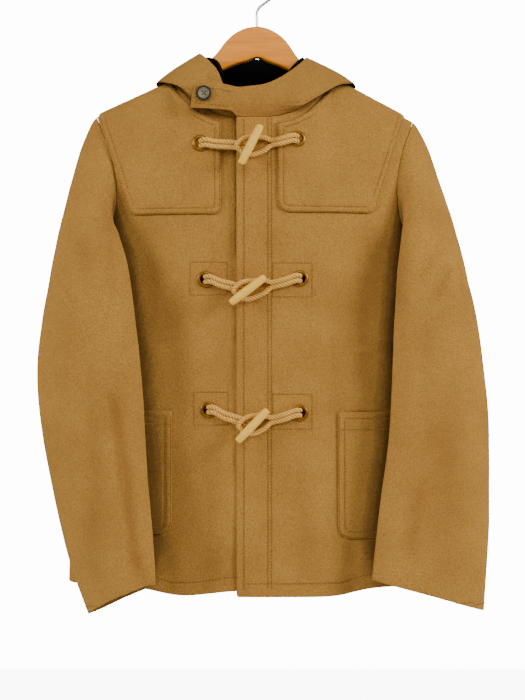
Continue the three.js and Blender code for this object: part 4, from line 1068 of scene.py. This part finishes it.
for name, piece, loop, seams in (
    ("yoke_left", yoke_left, yoke_left_edge, (1.5, 8)),
    ("yoke_right", yoke_right, yoke_right_edge, (1.5, 8)),
    ("pocket_left", pocket_left, pocket_left_edge, (1.5, 9)),
    ("pocket_right", pocket_right, pocket_right_edge, (1.5, 9)),
):
    lines = []
    for amount in seams:
        if "yoke" in name:
            lines += inset(loop, amount, lambda x, z: z > -195)
        else:
            lines += inset(loop, amount, lambda x, z: z > -597)
    if name == "pocket_left":
        lines.append([(108.5, -617.6), (160, -617.6), (217.5, -617.6)])
    if name == "pocket_right":
        lines.append([(-220.5, -610), (-160, -610), (-113.5, -610)])
    sew(name + "_seams", tree_of(piece), lines)


# Cuffs are turned up and stitched once all round.
def ring_round(tree, node, rise):
    own = places(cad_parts[node].data) * 1000
    fit = [np.polyfit(own[:, 2], own[:, k], 3) for k in (0, 1)]
    low = own[own[:, 2] < own[:, 2].min() + 60]
    plane = np.linalg.lstsq(np.c_[low[:, :2], np.ones(len(low))], low[:, 2], rcond=None)[0]
    found = []
    for a in np.linspace(0, 2 * math.pi, 90):
        z = float(own[:, 2].min()) + 14
        for _ in range(4):
            c = Vector((np.polyval(fit[0], z), np.polyval(fit[1], z), z)) / 1000
            way = Vector((math.cos(a), math.sin(a), 0))
            hit = tree.ray_cast(c + way * 0.3, -way)
            if hit[0] is None:
                break
            near = low[np.argsort(np.hypot(low[:, 0] - hit[0].x * 1000, low[:, 1] - hit[0].y * 1000))[:14]]
            z = float(near[:, 2].min()) + rise
        if hit[0] is not None:
            found.append((hit[0] * 1000, hit[1]))
    return found


def sew_ring(name, found):
    stitches, verts, faces = [], [], []
    for (a, n), (b, _) in zip(found, found[1:]):
        if (b - a).length > 14:
            continue
        for k in range(max(int((b - a).length / 3.6), 1)):
            share = (b - a) / max(int((b - a).length / 3.6), 1)
            p = a + share * k
            end = p + share * 0.72
            body = [
                p + n * 0.05,
                p + (end - p) * 0.15 + n * 0.36,
                p + (end - p) * 0.85 + n * 0.36,
                end + n * 0.05,
            ]
            stitches.append(swept([tuple(q) for q in body], [0.2, 0.42, 0.42, 0.2], 6))
        # The strip under the stitches is painted shadow, darker cloth where the seam would sink.
        wide = (b - a).cross(n).normalized() * 0.55
        base = len(verts)
        verts += [
            tuple(a + wide + n * 0.14),
            tuple(a - wide + n * 0.14),
            tuple(b + wide + n * 0.14),
            tuple(b - wide + n * 0.14),
        ]
        faces.append((base, base + 1, base + 3, base + 2))
    mesh = joined_mesh(name, stitches)
    mesh.attributes.new("fold_shade", "FLOAT", "POINT")
    finish_piece(name + "_thread", mesh, melton, "melton")
    strip = joined_mesh(name, [(verts, faces)])
    strip.attributes.new("fold_shade", "FLOAT", "POINT")
    finish_piece(name + "_line", strip, thread_and_painted_seam_line, "melton")


sew_ring("cuff_left", ring_round(tree_of(sleeve_left), "sleeve_left", 10))
sew_ring("cuff_right", ring_round(tree_of(sleeve_right), "sleeve_right", 10))


# Where cloth lies close to other cloth little light gets in, so each point is darkened by how much of its
# own half
# space is closed off nearby: between sleeves and body, under the tab and the hood, and along the front's
# edge.
cloths = [
    back,
    front_left,
    front_right,
    yoke_left,
    yoke_right,
    pocket_left,
    pocket_right,
    sleeve_left,
    sleeve_right,
]
cloths += [hood_left, hood_right]
near_by = tree_of(*cloths)
spiral = [(math.sqrt((k + 0.5) / 14), k * 2.39996) for k in range(14)]
for piece in cloths:
    mesh = piece.data
    found = np.zeros(len(mesh.vertices))
    for k, vertex in enumerate(mesh.vertices):
        n = vertex.normal
        u = n.orthogonal().normalized()
        v = n.cross(u)
        start = vertex.co + n * 0.0012
        shut = 0.0
        for r, a in spiral:
            way = n * math.sqrt(1 - r * r) + u * (r * math.cos(a)) + v * (r * math.sin(a))
            hit = near_by.ray_cast(start, way, 0.11)
            if hit[0] is not None and hit[3] > 0.0025:
                shut += 1 - hit[3] / 0.14
        found[k] = shut / 14
    # Painted shade: stored per point and read by the wool material.
    hollow_shade = mesh.attributes.new("hollow_shade", "FLOAT", "POINT")
    hollow_shade.data.foreach_set("value", 0.93 * smooth((found - 0.08) / 0.62))


# The stage: a plain pale floor well below the hem, a white room and large soft lights, with the camera
# square on.
floor_stuff, tree, shader = new_material("pale_floor")
shader.inputs["Base Color"].default_value = linear("#f1f1f0")
shader.inputs["Roughness"].default_value = 0.9
shader.inputs["Emission Color"].default_value = (1, 1, 1, 1)
seen = add(tree, "ShaderNodeLightPath")
glow = add(tree, "ShaderNodeMapRange", {"To Min": 0.0, "To Max": 9.0}, {"Value": (seen, "Is Camera Ray")})
tree.links.new(glow.outputs["Result"], shader.inputs["Emission Strength"])
mesh = bpy.data.meshes.new("floor")
mesh.from_pydata(
    [(-1.1, -1.1, -1.25), (1.1, -1.1, -1.25), (1.1, 1.1, -1.25), (-1.1, 1.1, -1.25)], [], [(0, 1, 2, 3)]
)
mesh.materials.append(floor_stuff)
floor = bpy.data.objects.new("floor", mesh)
bpy.context.scene.collection.objects.link(floor)
room = bpy.data.worlds.new("room")
bpy.context.scene.world = room
room.use_nodes = True
tree = room.node_tree
seen = add(tree, "ShaderNodeLightPath")
strength = add(
    tree, "ShaderNodeMapRange", {"To Min": 0.2, "To Max": 14.0}, {"Value": (seen, "Is Camera Ray")}
)
background = tree.nodes["Background"]
background.inputs["Color"].default_value = (1, 1, 1, 1)
tree.links.new(strength.outputs["Result"], background.inputs["Strength"])
for name, place, aim, size, power in (
    ("key", (2.0, -1.1, 0.35), (0, 0, -0.5), 0.8, 52),
    ("fill", (-2.0, -1.1, 0.25), (0, 0, -0.5), 0.8, 38),
    ("front", (0.1, -2.4, 1.0), (0, 0, -0.5), 1.4, 24),
    ("back", (0.4, 2.0, 0.8), (0, 0, -0.5), 1.4, 14),
):
    lamp = bpy.data.lights.new(name, "AREA")
    lamp.size = size
    lamp.energy = power
    holder = bpy.data.objects.new(name, lamp)
    holder.location = place
    holder.rotation_euler = (Vector(aim) - Vector(place)).to_track_quat("-Z", "Y").to_euler()
    bpy.context.scene.collection.objects.link(holder)
view = bpy.data.cameras.new("camera")
view.lens = 60.06
view.sensor_width = 36
camera = bpy.data.objects.new("camera", view)
camera.location = (0.0075, -1.6, -0.512)
camera.rotation_euler = (math.pi / 2, 0, 0)
bpy.context.scene.collection.objects.link(camera)
bpy.context.scene.camera = camera
